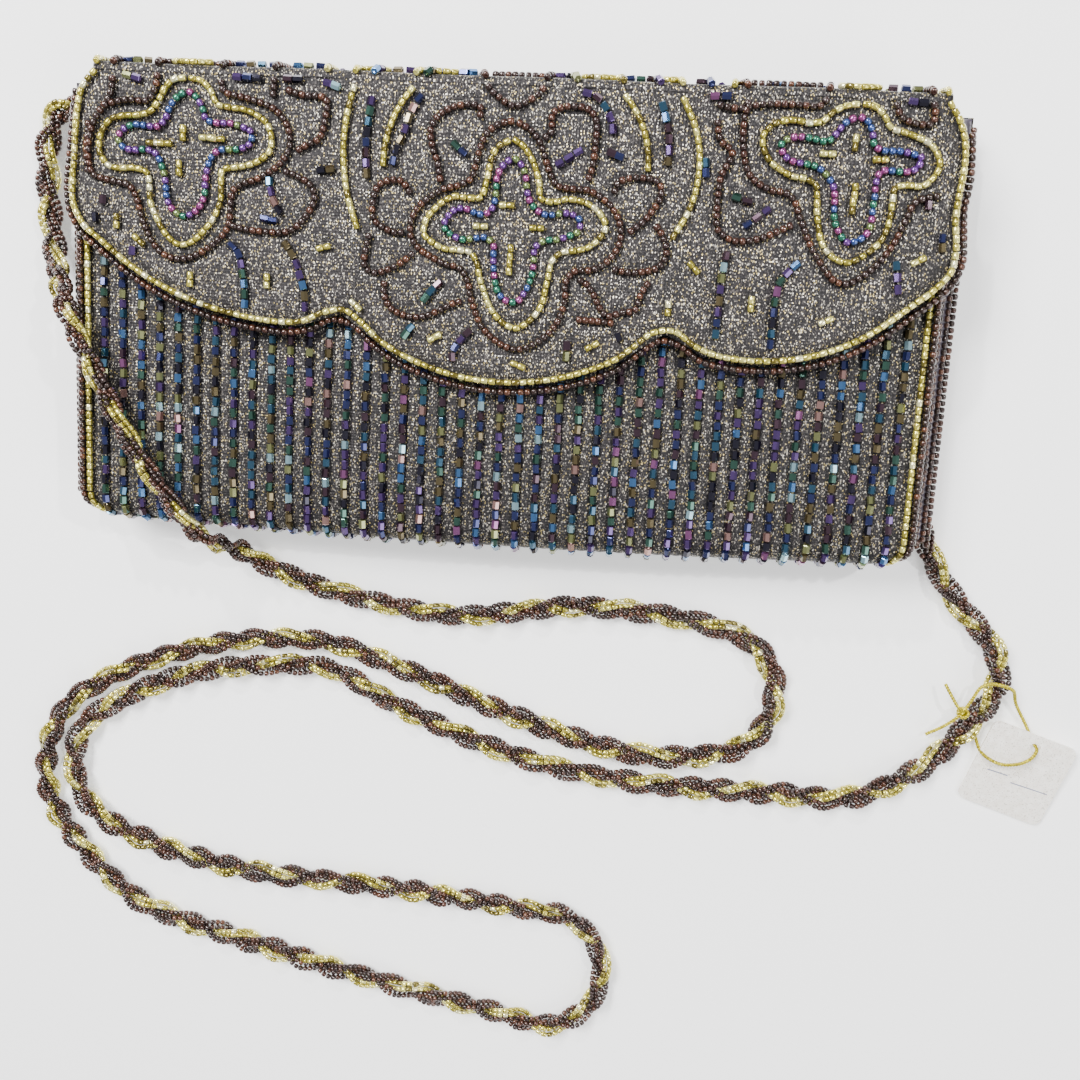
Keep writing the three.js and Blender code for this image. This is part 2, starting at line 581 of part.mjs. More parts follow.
// The knotted cord: a ring round the strap, a bight through the tag's hole, a knot and two ends.
function buildCord() {
  const centre = new THREE.Vector3(...CORD_LOOP.centre);
  const along = new THREE.Vector3(...CORD_LOOP.along).normalize();
  const out = new THREE.Vector3(along.y, -along.x, 0);
  const onRing = (degrees, reach = CORD_LOOP.radius) => {
    const angle = THREE.MathUtils.degToRad(degrees);
    const place = centre.clone().addScaledVector(out, reach * Math.cos(angle));
    return place.setZ(centre.z + reach * Math.sin(angle));
  };
  const run = (points, steps) => {
    const curve = new THREE.CatmullRomCurve3(points, false, 'centripetal');
    return tube(curve, steps, CORD_RADIUS, CORD_RADIUS, 6);
  };
  const arc = (from, to) => span(from, to, 8).map((degrees) => onRing(degrees));
  const hole = new THREE.Vector3(...TAG_PLACE);
  const bight = [
    onRing(42),
    hole.clone().add(new THREE.Vector3(-5, 5, 2.4)),
    hole.clone().add(new THREE.Vector3(-0.9, 0.8, 1.4)),
    hole.clone(),
    hole.clone().add(new THREE.Vector3(-0.9, 0.8, -1.3)),
    hole.clone().add(new THREE.Vector3(-5, 5, -1.3)),
    onRing(-42),
  ];
  const knotPlace = onRing(165, CORD_LOOP.radius + 1);
  const knot = new THREE.SphereGeometry(1.5, 8, 6).translate(...knotPlace.toArray());
  const end = (dx, dy, dz) => {
    const tip = knotPlace.clone().add(new THREE.Vector3(dx, dy, dz));
    const middle = knotPlace.clone().lerp(tip, 0.5).add(new THREE.Vector3(0, 0, 0.8));
    return run([knotPlace, middle, tip], 4);
  };
  const parts = [run(arc(-20, 190), 12), run(arc(170, 360), 12), run(bight, 20), knot];
  add('tag_cord', joined([...parts, end(-5, 5.5, -0.5), end(-6, -5, -1.5)]), goldCord);
}

buildBody();
buildFrontBeadwork();
buildSide('left', -1);
buildSide('right', 1);
buildSpine();
buildFlap();
buildSnap();
buildStrap();
buildTag();
buildCord();

export default group;
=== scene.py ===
"""A beaded evening clutch: fabric, beads, rope strap and hang tag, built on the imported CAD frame.

Lengths are in millimetres until a mesh is made, and then in metres. The bag lies on its back, face up, with
the fold of the flap toward +Y.
"""
import json
import math

import bpy
import numpy as np
from mathutils import Matrix, Vector, kdtree
from mathutils.geometry import delaunay_2d_cdt


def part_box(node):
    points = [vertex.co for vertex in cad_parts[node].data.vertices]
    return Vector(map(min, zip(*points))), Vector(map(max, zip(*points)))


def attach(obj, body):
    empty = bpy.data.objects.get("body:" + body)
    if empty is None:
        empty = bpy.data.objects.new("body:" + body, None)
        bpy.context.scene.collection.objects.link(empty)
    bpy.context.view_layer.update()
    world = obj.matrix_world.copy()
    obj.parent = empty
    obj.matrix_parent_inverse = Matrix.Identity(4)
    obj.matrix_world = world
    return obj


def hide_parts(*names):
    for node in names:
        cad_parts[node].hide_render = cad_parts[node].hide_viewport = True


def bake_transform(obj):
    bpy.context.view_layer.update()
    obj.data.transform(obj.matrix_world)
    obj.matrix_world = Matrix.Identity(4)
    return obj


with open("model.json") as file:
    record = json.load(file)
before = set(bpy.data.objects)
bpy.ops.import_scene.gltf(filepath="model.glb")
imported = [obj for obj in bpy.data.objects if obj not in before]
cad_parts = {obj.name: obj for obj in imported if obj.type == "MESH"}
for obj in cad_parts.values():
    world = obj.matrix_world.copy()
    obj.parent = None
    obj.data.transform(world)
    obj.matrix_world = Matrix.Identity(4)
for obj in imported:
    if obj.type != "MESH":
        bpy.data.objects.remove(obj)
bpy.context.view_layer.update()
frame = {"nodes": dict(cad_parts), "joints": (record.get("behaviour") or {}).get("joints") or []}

NODES = frame["nodes"]
JOINTS = {joint["name"]: joint for joint in frame["joints"]}


def box(node):
    """Lowest and highest corner of a CAD node in millimetres."""
    low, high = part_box(node)
    return np.array(low) * 1000, np.array(high) * 1000


def settle(obj, body, slot, *nodes):
    """Puts a piece on its body and hides the CAD nodes it stands for. The slot is not used."""
    if body:
        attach(obj, body)
    if nodes:
        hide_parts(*nodes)
    return obj


# ---- Sizes read from the frame --------------------------------------------------------------------
cover_low, cover_high = box("body_cover")
BACK_HALF = cover_high[0]
BACK_Z, FRONT_Z = cover_low[2], cover_high[2]
BACK_TOP = cover_high[1]
FRONT_HALF = box("front_board")[1][0] + 4
MOUTH_Y = box("front_board")[1][1] + 2
flap_low, flap_high = box("flap_cover")
FLAP_Z, FLAP_TOP = flap_high[2], flap_high[1]
REAR_FOLD = np.array(JOINTS["flap_open"]["pos_m"]) * 1000
FRONT_FOLD = np.array(JOINTS["flap_fold"]["pos_m"]) * 1000
SPINE_HALF = box("spine_cover")[1][0]
RING_CENTRE = np.array(JOINTS["tag_lift"]["pos_m"]) * 1000
TAG_HOLE = np.array(JOINTS["tag_swivel"]["pos_m"]) * 1000

# ---- Driving values --------------------------------------------------------------------------------
BEND_Y = -48.0  # where the bottom starts to curve, at the sides
BOTTOM_BOW = 2.6
BASE_DEPTH = 5.2
BASE_SQUARENESS = 0.72
EDGE_LIFT = 5.6  # the back's side margins stand off the table
FLAT_HALF, LIFTED_HALF = 72.0, 96.0
FABRIC = 0.8  # thickness
SEED_RADIUS = 0.8
BEAD_PITCH = {"gold": 1.86, "brown": 1.6, "iris": 1.66}  # along a string
CUT_RADIUS, CUT_LENGTH, CUT_PITCH = 0.9, 2.05, 2.45
ROW_PITCH = 4.75
BRAID_LENGTH = 26.0  # along the strap, from one gold crossing to the next on the same side
BRAID_HALF_WIDTH, BRAID_HALF_HEIGHT, STRAND_HALF_WIDTH = 1.85, 1.15, 0.72
STRAP_BEAD_SIZE = 0.88  # compared with the beads on the bag
FLOOR_GLOW = 0.45
CAMERA_PLACE = (0.033, -0.009, 0.285)  # metres
CAMERA_RIGHT, CAMERA_BACK = (0.9951, 0.0555, -0.0816), (0.0716, 0.1622, 0.9841)
CAMERA_LENS, CAMERA_SENSOR = 36.33, 36

# ---- Materials -------------------------------------------------------------------------------------


class Recipe:
    """A node material under construction."""

    def __init__(self, name):
        self.material = bpy.data.materials.new(name)
        self.material.use_nodes = True
        self.tree = self.material.node_tree
        self.shader = self.tree.nodes["Principled BSDF"]

    def add(self, kind, settings=None, **inputs):
        node = self.tree.nodes.new("ShaderNode" + kind)
        for key, value in (settings or {}).items():
            setattr(node, key, value)
        for key, value in inputs.items():
            self.put(node.inputs[key.replace("_", " ")], value)
        return node

    def put(self, socket, value):
        if isinstance(value, bpy.types.NodeSocket):
            self.tree.links.new(value, socket)
        else:
            socket.default_value = value

    def finish(self, **inputs):
        for key, value in inputs.items():
            self.put(self.shader.inputs[key.replace("_", " ")], value)
        return self.material

    def millimetres(self):
        """Object coordinates in millimetres."""
        place = self.add("TexCoord").outputs["Object"]
        return self.add("Mapping", Vector=place, Scale=(1000, 1000, 1000)).outputs[0]

    def noise(self, where, scale, detail=3.0):
        return self.add("TexNoise", Vector=where, Scale=scale, Detail=detail).outputs["Fac"]

    def ramp(self, value, *stops):
        """A colour ramp through (position, colour) stops."""
        ramp = self.add("ValToRGB", Fac=value)
        elements = ramp.color_ramp.elements
        while len(elements) < len(stops):
            elements.new(0.5)
        for element, (position, colour) in zip(elements, stops):
            element.position = position
            element.color = (*colour, 1) if len(colour) == 3 else colour
        return ramp.outputs["Color"]

    def math(self, operation, a, b=0.5, c=0.5):
        node = self.add("Math", {"operation": operation})
        for socket, value in zip(node.inputs, (a, b, c)):
            self.put(socket, value)
        return node.outputs[0]

    def mix(self, share, a, b):
        node = self.add("Mix", {"data_type": "RGBA"})
        for socket, value in ((node.inputs[0], share), (node.inputs[6], a), (node.inputs[7], b)):
            self.put(socket, value)
        return node.outputs[2]

    def bump(self, height, strength, distance=0.0002):
        return self.add("Bump", Height=height, Strength=strength, Distance=distance).outputs[0]


def tone(r, g, b):
    """A colour given as 0-255 screen values, as linear light."""
    return tuple(((c / 255 + 0.055) / 1.055) ** 2.4 if c > 10 else c / 3295 for c in (r, g, b))


def lame(name, rib, course, hollow_shade_depth):
    """Metallic knit: ribs along Y, courses across them, and stitches of random tone. The brightest stitches are
    metallic yarn with painted glints, and the colour is darkened as painted shade in the hollows between the ribs
    and in the gaps between stitches.
    """
    m = Recipe(name)
    where = m.millimetres()
    ribs = m.add(
        "TexWave", {"bands_direction": "X"}, Vector=where, Scale=0.314 / rib, Distortion=0.8
    ).outputs["Fac"]
    courses = m.add(
        "TexWave", {"bands_direction": "Y"}, Vector=where, Scale=0.314 / course, Distortion=1.6
    ).outputs["Fac"]
    weave = m.math("MULTIPLY_ADD", ribs, 0.65, m.math("MULTIPLY", courses, 0.35))
    stitches = m.add("Mapping", Vector=where, Scale=(4.2, 2.9, 3.6)).outputs[0]
    cells = m.add("TexVoronoi", Vector=stitches, Scale=1.0, Randomness=0.6)
    shade = m.add("SeparateColor", Color=cells.outputs["Color"]).outputs[0]
    # Each stitch's colour: mostly dark tones; the near-white and gold stitches are metallic yarn with painted
    # glints.
    stitch_tone_and_glints = m.ramp(
        shade,
        (0.34, tone(27, 24, 27)),
        (0.66, tone(54, 50, 51)),
        (0.84, tone(98, 92, 88)),
        (0.93, tone(226, 219, 206)),
        (0.97, tone(204, 182, 118)),
    )
    # Painted shade: the colour darkens in the hollows between the ribs, where the bump is lowest.
    rib_hollow_shade = m.math("SUBTRACT", 1.0, m.math("MULTIPLY", m.math("SUBTRACT", 1.0, weave), hollow_shade_depth))
    cloud = m.math("MULTIPLY_ADD", m.noise(where, 0.12), 0.3, 0.85)
    # Painted shade: each stitch darkens toward its edge, so the gaps between stitches are dark.
    stitch_gap_shade = m.math("SUBTRACT", 1.32, m.math("MULTIPLY", cells.outputs["Distance"], 1.1))
    # Random cloud of tone times the painted shade in the rib hollows and the stitch gaps.
    level = m.math("MULTIPLY", m.math("MULTIPLY", rib_hollow_shade, cloud), stitch_gap_shade)
    colour = m.add("Mix", {"data_type": "RGBA", "blend_type": "MULTIPLY"})
    grey = m.add("CombineColor", Red=level, Green=level, Blue=level).outputs[0]
    for socket, value in ((colour.inputs[0], 1.0), (colour.inputs[6], stitch_tone_and_glints), (colour.inputs[7], grey)):
        m.put(socket, value)
    rough = m.math("SUBTRACT", 0.6, m.math("MULTIPLY", m.math("GREATER_THAN", shade, 0.82), 0.3))
    height = m.math("MULTIPLY_ADD", shade, 0.4, weave)
    return m.finish(Base_Color=colour.outputs[2], Metallic=0.4, Roughness=rough, Normal=m.bump(height, 0.6))


def edge_fabric():
    """Dark plum taffeta of the gussets, bindings and piping."""
    m = Recipe("edge_fabric")
    where = m.millimetres()
    weave = m.add("TexWave", {"bands_direction": "Z"}, Vector=where, Scale=0.5, Distortion=2.0).outputs["Fac"]
    colour = m.ramp(
        m.math("MULTIPLY_ADD", weave, 0.4, m.math("MULTIPLY", m.noise(where, 0.6), 0.6)),
        (0.2, tone(21, 15, 21)),
        (0.8, tone(51, 38, 46)),
    )
    return m.finish(Base_Color=colour, Roughness=0.55, Sheen_Weight=0.3, Normal=m.bump(weave, 0.5))


def satin():
    """Dark satin of the lining, streaked along the bag."""
    m = Recipe("satin_lining")
    where = m.millimetres()
    streaks = m.noise(m.add("Mapping", Vector=where, Scale=(0.05, 1.4, 1.4)).outputs[0], 1.0)
    colour = m.ramp(streaks, (0.3, tone(34, 28, 38)), (0.7, tone(62, 52, 68)))
    return m.finish(Base_Color=colour, Roughness=0.36, Sheen_Weight=0.4, Normal=m.bump(streaks, 0.25))


def greyboard():
    m = Recipe("stiffener_board")
    fibres = m.noise(m.millimetres(), 1.2, 6.0)
    colour = m.ramp(fibres, (0.3, tone(128, 120, 110)), (0.7, tone(166, 158, 146)))
    return m.finish(Base_Color=colour, Roughness=0.9, Normal=m.bump(fibres, 0.4))


def steel():
    m = Recipe("snap_metal")
    scratches = m.noise(m.add("Mapping", Vector=m.millimetres(), Scale=(0.4, 6, 6)).outputs[0], 1.0, 5.0)
    colour = m.ramp(scratches, (0.3, tone(190, 190, 192)), (0.7, tone(222, 222, 224)))
    rough = m.math("MULTIPLY_ADD", scratches, 0.25, 0.15)
    return m.finish(Base_Color=colour, Metallic=1.0, Roughness=rough)


def card():
    """Recycled paper with small dark and warm flecks."""
    m = Recipe("tag_card")
    where = m.millimetres()
    pulp = m.ramp(m.noise(where, 0.7), (0.3, tone(236, 229, 218)), (0.7, tone(252, 248, 241)))
    flecks = m.math("GREATER_THAN", m.noise(where, 2.6, 2.0), 0.62)
    colour = m.mix(m.math("MULTIPLY", flecks, 0.55), pulp, (*tone(146, 130, 114), 1))
    return m.finish(Base_Color=colour, Roughness=0.85, Normal=m.bump(m.noise(where, 1.5), 0.15))


def ink():
    m = Recipe("tag_ink")
    colour = m.ramp(m.noise(m.millimetres(), 1.5), (0.3, tone(92, 98, 128)), (0.7, tone(124, 130, 156)))
    return m.finish(Base_Color=colour, Roughness=0.7)


def gold_thread():
    m = Recipe("tag_cord")
    shine = m.noise(m.millimetres(), 1.6)
    colour = m.ramp(shine, (0.3, tone(140, 121, 20)), (0.7, tone(222, 211, 62)))
    return m.finish(Base_Color=colour, Metallic=0.8, Roughness=0.32)


def glass(name, colour, metallic, roughness):
    """One colour of bead glass. A faint haze on its clear coat varies from place to place."""
    m = Recipe(name)
    haze = m.math("MULTIPLY", m.noise(m.millimetres(), 0.5), 0.25)
    return m.finish(
        Base_Color=(*tone(*colour), 1),
        Metallic=metallic,
        Roughness=roughness,
        Coat_Weight=0.7,
        Coat_Roughness=haze,
    )


def palette(name, metallic, roughness, *colours):
    """The colours of one kind of bead, each with how common it is."""
    glasses = [glass(f"{name}_{i}", colour, metallic, roughness) for i, (colour, _) in enumerate(colours)]
    shares = np.array([share for _, share in colours], float)
    return glasses, shares / shares.sum()


LAME_BODY = lame("lame_fabric", 1.15, 0.7, 0.5)
LAME_FLAP = lame("lame_flap", 0.75, 0.75, 0.25)
EDGE = edge_fabric()
SATIN = satin()
BOARD = greyboard()
STEEL = steel()
CARD = card()
INK = ink()
CORD = gold_thread()
# Gold bead colours: one gold with lighter and darker copies; the palest (250, 245, 188) is a painted highlight and
# the darkest (116, 104, 36) a painted shade.
GOLD_WITH_PAINTED_LIGHT = palette(
    "gold_beads", 0.75, 0.18,
    ((208, 196, 90), 5), ((236, 228, 134), 3), ((170, 158, 60), 3), ((250, 245, 188), 1), ((116, 104, 36), 2),
)
BROWN = palette(
    "brown_beads", 0.5, 0.22,
    ((66, 39, 30), 5), ((47, 31, 27), 5), ((80, 48, 35), 3), ((94, 58, 41), 1), ((52, 36, 34), 2),
)
IRIS = palette(
    "iris_beads", 0.75, 0.2,
    ((112, 66, 146), 4), ((150, 70, 132), 3), ((62, 88, 150), 2), ((50, 120, 98), 3), ((120, 140, 84), 1),
)
CUT = palette(
    "cut_beads", 0.85, 0.14,
    ((46, 54, 104), 5), ((34, 32, 50), 3), ((48, 90, 116), 3), ((84, 60, 116), 5), ((54, 92, 80), 3),
    ((104, 92, 62), 3), ((70, 116, 168), 2), ((142, 84, 134), 1), ((160, 198, 210), 1), ((136, 140, 92), 2),
    ((70, 48, 62), 3), ((170, 132, 126), 1),
)

# ---- Meshes ----------------------------------------------------------------------------------------


def mesh_object(name, points, faces, materials, slots=None, smooth=True):
    """A mesh from points in millimetres and a list of face arrays, one for each number of corners."""
    mesh = bpy.data.meshes.new(name)
    faces = [np.asarray(f, np.int32) for f in faces if len(f)]
    corners = np.concatenate([f.ravel() for f in faces])
    sizes = np.concatenate([np.full(len(f), f.shape[1]) for f in faces])
    mesh.vertices.add(len(points))
    mesh.vertices.foreach_set("co", (np.asarray(points, float) / 1000).astype(np.float32).ravel())
    mesh.loops.add(len(corners))
    mesh.loops.foreach_set("vertex_index", corners)
    mesh.polygons.add(len(sizes))
    mesh.polygons.foreach_set("loop_start", np.concatenate([[0], np.cumsum(sizes)[:-1]]).astype(np.int32))
    for material in materials:
        mesh.materials.append(material)
    if slots is not None:
        mesh.polygons.foreach_set("material_index", np.asarray(slots, np.int32))
    mesh.polygons.foreach_set("use_smooth", np.full(len(sizes), smooth))
    mesh.update(calc_edges=True)
    mesh.validate()
    obj = bpy.data.objects.new(name, mesh)
    bpy.context.scene.collection.objects.link(obj)
    return obj


def normalised(vectors):
    return vectors / np.maximum(np.linalg.norm(vectors, axis=-1, keepdims=True), 1e-9)


def smoothstep(value, start, end):
    t = np.clip((value - start) / (end - start), 0, 1)
    return t * t * (3 - 2 * t)


def grid_sheet(name, outer, inner, material, smooth=True):
    """A closed sheet between two (rows, columns, 3) grids of points."""
    rows, columns, _ = outer.shape
    index = np.arange(rows * columns).reshape(rows, columns)
    top = np.stack([index[:-1, :-1], index[:-1, 1:], index[1:, 1:], index[1:, :-1]], -1).reshape(-1, 4)
    below = top[:, ::-1] + rows * columns
    rim = np.concatenate([index[0, :-1], index[:-1, -1], index[-1, :0:-1], index[:0:-1, 0]])
    ahead = np.roll(rim, -1)
    side = np.stack([ahead, rim, rim + rows * columns, ahead + rows * columns], -1)
    points = np.concatenate([outer.reshape(-1, 3), inner.reshape(-1, 3)])
    obj = mesh_object(name, points, [np.concatenate([top, below, side])], [material], smooth=smooth)
    face_out(obj)
    return obj


def face_out(obj):
    """Turns a closed mesh's faces outward."""
    mesh = obj.data
    mesh.calc_loop_triangles()
    points = np.empty(len(mesh.vertices) * 3, np.float32)
    mesh.vertices.foreach_get("co", points)
    corners = np.empty(len(mesh.loop_triangles) * 3, np.int32)
    mesh.loop_triangles.foreach_get("vertices", corners)
    a, b, c = points.reshape(-1, 3)[corners].reshape(-1, 3, 3).transpose(1, 0, 2)
    if np.einsum("ij,ij->", a, np.cross(b, c)) < 0:
        mesh.flip_normals()


def panel(name, outline, top, thickness, spacing, material):
    """A closed sheet with a flat outline. Its upper side is at the height top(x, y)."""
    outline = np.asarray(outline)[:, :2]
    low, high = outline.min(0), outline.max(0)
    xs, ys = np.meshgrid(np.arange(low[0], high[0], spacing), np.arange(low[1], high[1], spacing))
    inner = np.stack([xs.ravel(), ys.ravel()], 1)
    inner = inner[inside(inner, outline) & (distance_to(inner, outline) > 0.6 * spacing)]
    points = [Vector(p) for p in np.concatenate([outline, inner])]
    ring = [(i, (i + 1) % len(outline)) for i in range(len(outline))]
    found = delaunay_2d_cdt(points, ring, [], 1, 1e-6)
    flat = np.array([p[:] for p in found[0]])
    faces = np.array([f for f in found[2]])
    count = len(flat)
    high = np.column_stack([flat, top(flat[:, 0], flat[:, 1])])
    low = high - [0, 0, thickness]
    edges = np.sort(np.concatenate([faces[:, [0, 1]], faces[:, [1, 2]], faces[:, [2, 0]]]), 1)
    once, seen = np.unique(edges, axis=0, return_counts=True)
    directed = {tuple(e) for f in faces for e in ((f[0], f[1]), (f[1], f[2]), (f[2], f[0]))}
    rim = np.array([e if tuple(e) in directed else e[::-1] for e in once[seen == 1]])
    side = np.stack([rim[:, 1], rim[:, 0], rim[:, 0] + count, rim[:, 1] + count], -1)
    triangles = np.concatenate([faces, faces[:, ::-1] + count])
    obj = mesh_object(name, np.concatenate([high, low]), [triangles, side], [material])
    face_out(obj)
    return obj


def inside(points, outline):
    """Which points lie inside a closed outline."""
    within = np.zeros(len(points), bool)
    for (x0, y0), (x1, y1) in zip(outline, np.roll(outline, -1, 0)):
        if y0 != y1:
            crosses = (points[:, 1] < y0) != (points[:, 1] < y1)
            within ^= crosses & (points[:, 0] < x0 + (x1 - x0) * (points[:, 1] - y0) / (y1 - y0))
    return within


def distance_to(points, places):
    """How far each point is from the nearest of the places, seen from above."""
    tree = kdtree.KDTree(len(places))
    for i, place in enumerate(places):
        tree.insert((place[0], place[1], 0), i)
    tree.balance()
    return np.array([tree.find((p[0], p[1], 0))[2] for p in points])


# ---- Lines -----------------------------------------------------------------------------------------


def curve(points, closed=False, steps=12):
    """A smooth line through the points."""
    p = np.asarray(points, float)
    if closed:
        p = np.concatenate([p[-1:], p, p[:2]])
    else:
        p = np.concatenate([[2 * p[0] - p[1]], p, [2 * p[-1] - p[-2]]])
    t = np.linspace(0, 1, steps, endpoint=False)[:, None]
    parts = [
        0.5 * (2 * b + (c - a) * t + (2 * a - 5 * b + 4 * c - d) * t**2 + (3 * b - a - 3 * c + d) * t**3)
        for a, b, c, d in zip(p, p[1:], p[2:], p[3:])
    ]
    return np.concatenate([*parts, p[-2:-1]])


def spaced(line, pitch):
    """Places about one pitch apart along a line, and the line's direction at each."""
    run = np.concatenate([[0], np.cumsum(np.linalg.norm(np.diff(line, axis=0), axis=1))])
    count = max(1, round(run[-1] / pitch))
    at = (np.arange(count) + 0.5) * run[-1] / count
    where = lambda s: np.stack([np.interp(s, run, line[:, k]) for k in range(line.shape[1])], 1)
    reach = 0.4 * pitch
    return where(at), normalised(where(at + reach) - where(at - reach))


def welded(node):
    """A CAD node's points in millimetres with doubles joined, and its edges."""
    mesh = NODES[node].data
    points = np.array([v.co for v in mesh.vertices]) * 1000
    _, first, index = np.unique(np.round(points, 3), axis=0, return_index=True, return_inverse=True)
    edges = index.ravel()[np.array([e.vertices[:] for e in mesh.edges])]
    return points[first], edges


def neighbours(count, edges):
    near = [set() for _ in range(count)]
    for a, b in edges:
        if a != b:
            near[a].add(b)
            near[b].add(a)
    return near


def ridge(node):
    """The middle line of a level string of beads, from the ridge along the top of its CAD node."""
    points, edges = welded(node)
    high = points[:, 2] > points[:, 2].max() - 0.02
    near = neighbours(len(points), [e for e in edges if high[e[0]] and high[e[1]]])
    ends = [i for i in np.flatnonzero(high) if len(near[i]) == 1]
    walk = [min(ends, key=lambda i: tuple(points[i]))]
    while True:
        ahead = near[walk[-1]] - set(walk[-2:])
        if not ahead:
            return points[walk] - [0, 0, SEED_RADIUS]
        walk.append(ahead.pop())


def strap_line():
    """The strap's middle line: the centres of the rings of its CAD node, from the left end to the right."""
    points, edges = welded("strap")
    start = np.mean(box("left_strap_binding"), axis=0)
    by_start = np.flatnonzero(np.linalg.norm(points - start, axis=1) < 8)
    ring = set(by_start[np.argsort(-points[by_start, 0])[:6]])
    near = neighbours(len(points), edges)
    seen, centres = set(), []
    while ring:
        centres.append(points[list(ring)].mean(0))
        seen |= ring
        ring = {j for i in ring for j in near[i]} - seen
    return curve(np.array(centres), steps=10)


# ---- Beads -----------------------------------------------------------------------------------------


def turned(profile, sides):
    """Points and faces of a body of revolution about X. The profile starts and ends on the axis."""
    angles = np.arange(sides) * 2 * np.pi / sides
    rings = [[(x, r * np.cos(a), r * np.sin(a)) for a in angles] for x, r in profile[1:-1]]
    points = np.array([(profile[0][0], 0, 0), *[p for ring in rings for p in ring], (profile[-1][0], 0, 0)])
    at = lambda ring, k: 1 + ring * sides + k % sides
    quads = [
        (at(r, k), at(r, k + 1), at(r + 1, k + 1), at(r + 1, k))
        for r in range(len(rings) - 1) for k in range(sides)
    ]
    last = len(points) - 1
    ends = [(0, at(0, k + 1), at(0, k)) for k in range(sides)]
    ends += [(last, at(len(rings) - 1, k), at(len(rings) - 1, k + 1)) for k in range(sides)]
    return points, np.array(quads)[:, ::-1], np.array(ends)[:, ::-1]


def bead_outline(*half):
    """Both halves of a bead's outline along its hole, as (place along the bead, share of the radius)."""
    return [*half, *((-along, radius) for along, radius in reversed(half))]


SEED = turned(bead_outline((-0.3, 0), (-0.46, 0.4), (-0.44, 0.78), (-0.2, 1)), 8)
BUGLE = turned(bead_outline((-0.34, 0), (-0.48, 0.45), (-0.47, 0.84), (-0.38, 1)), 8)
CUT_GLASS = turned(bead_outline((-0.35, 0), (-0.5, 0.45), (-0.5, 0.88), (-0.44, 1)), 6)


def beads(name, body, slot, shape, colours, size, places, along, up, seed):
    """One mesh of many beads. Each bead has its own size, tilt, roll and colour."""
    rng = np.random.default_rng(seed)
    count = len(places)
    points, quads, ends = shape
    radius, length = size
    ahead = normalised(along + rng.normal(0, 0.05, (count, 3)))
    side = normalised(np.cross(up, ahead))
    lift = np.cross(ahead, side)
    roll = rng.uniform(0, 2 * np.pi, count)[:, None]
    side, lift = side * np.cos(roll) + lift * np.sin(roll), lift * np.cos(roll) - side * np.sin(roll)
    lengths = length * rng.normal(1, 0.05, count).clip(0.85, 1.1)
    radii = radius * rng.normal(1, 0.035, count).clip(0.9, 1.08)
    x, y, z = (points[:, k][None, :, None] for k in range(3))
    made = (
        np.asarray(places)[:, None]
        + x * (lengths[:, None] * ahead)[:, None]
        + y * (radii[:, None] * side)[:, None]
        + z * (radii[:, None] * lift)[:, None]
    )
    shift = (np.arange(count) * len(points))[:, None, None]
    materials, shares = colours
    choice = rng.choice(len(materials), count, p=shares)
    slots = np.concatenate([np.repeat(choice, len(quads)), np.repeat(choice, len(ends))])
    faces = [(quads[None] + shift).reshape(-1, 4), (ends[None] + shift).reshape(-1, 3)]
    obj = mesh_object(name, made.reshape(-1, 3), faces, materials, slots, smooth=shape is not CUT_GLASS)
    return settle(obj, body, slot)


KINDS = {"gold": GOLD_WITH_PAINTED_LIGHT, "brown": BROWN, "iris": IRIS}


def seeds(name, body, kind, lines, seed, nodes=(), size=1.0):
    """Strings of seed beads along lines. Gold beads are a little longer than the others."""
    pitch = BEAD_PITCH[kind] * size
    found = [spaced(line, pitch) for line in lines]
    places, along = (np.concatenate([f[k] for f in found]) for k in range(2))
    up = np.broadcast_to([0.0, 0.0, 1.0], places.shape)
    radius = size * (0.76 if kind == "gold" else 0.84)
    shape = BUGLE if kind == "gold" else SEED
    obj = beads(name, body, f"{kind}_beads", shape, KINDS[kind], (radius, 0.95 * pitch), places, along, up, seed)
    if nodes:
        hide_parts(*nodes)
    return obj


# ---- Body ------------------------------------------------------------------------------------------


def puff(x):
    """The fabric stands up between the rows of beads, which pull it down."""
    return 0.32 * (0.5 + 0.5 * np.cos(2 * np.pi * x / ROW_PITCH)) * smoothstep(-np.abs(x), -101, -97)


def swell(x, y):
    """The front's soft fullness, mostly below the flap."""
    across = np.clip(1 - (x / FRONT_HALF) ** 2, 0, 1)
    along = smoothstep(-y, -20, 26) * smoothstep(y, -56, -40)
    return across * (0.35 + 1.0 * along) + 0.18 * np.sin(x / 13 + 0.7) * np.sin(y / 17) * across


def body_skin(x, v, depth, full=True):
    """A point at a depth below the cover's outside.

    v is 0-1 down the back, 1-2 round the base and 2-3 up the front.
    """
    x, v = np.broadcast_arrays(np.asarray(x, float), np.asarray(v, float))
    low = BACK_Z + EDGE_LIFT * smoothstep(np.abs(x), FLAT_HALF, LIFTED_HALF) + depth
    high = FRONT_Z - depth
    bend = BEND_Y - BOTTOM_BOW * np.clip(1 - (x / FRONT_HALF) ** 2, 0, 1)
    angle = (np.clip(v, 1, 2) - 1.5) * np.pi
    squared = lambda value: np.sign(value) * np.abs(value) ** BASE_SQUARENESS
    corner = 1 - 0.6 * smoothstep(np.abs(x), 96, 106) if full else 1
    y = bend - np.maximum(BASE_DEPTH * corner - depth, 0.15) * squared(np.cos(angle))
    y = np.where(v < 1, BACK_TOP + (bend - BACK_TOP) * v, y)
    y = np.where(v > 2, bend + (MOUTH_Y - bend) * (v - 2), y)
    z = (low + high) / 2 + (high - low) / 2 * squared(np.sin(angle))
    if full:
        outside = puff(x)
        z = z + (swell(x, y) + outside) * smoothstep(v, 1.5, 1.9) - 0.5 * outside * smoothstep(-v, -1.2, -1)
        y = y - 1.2 * outside * np.clip(1 - np.abs(v - 1.5) * 2, 0, 1)
    return np.stack([x, y, z], -1)


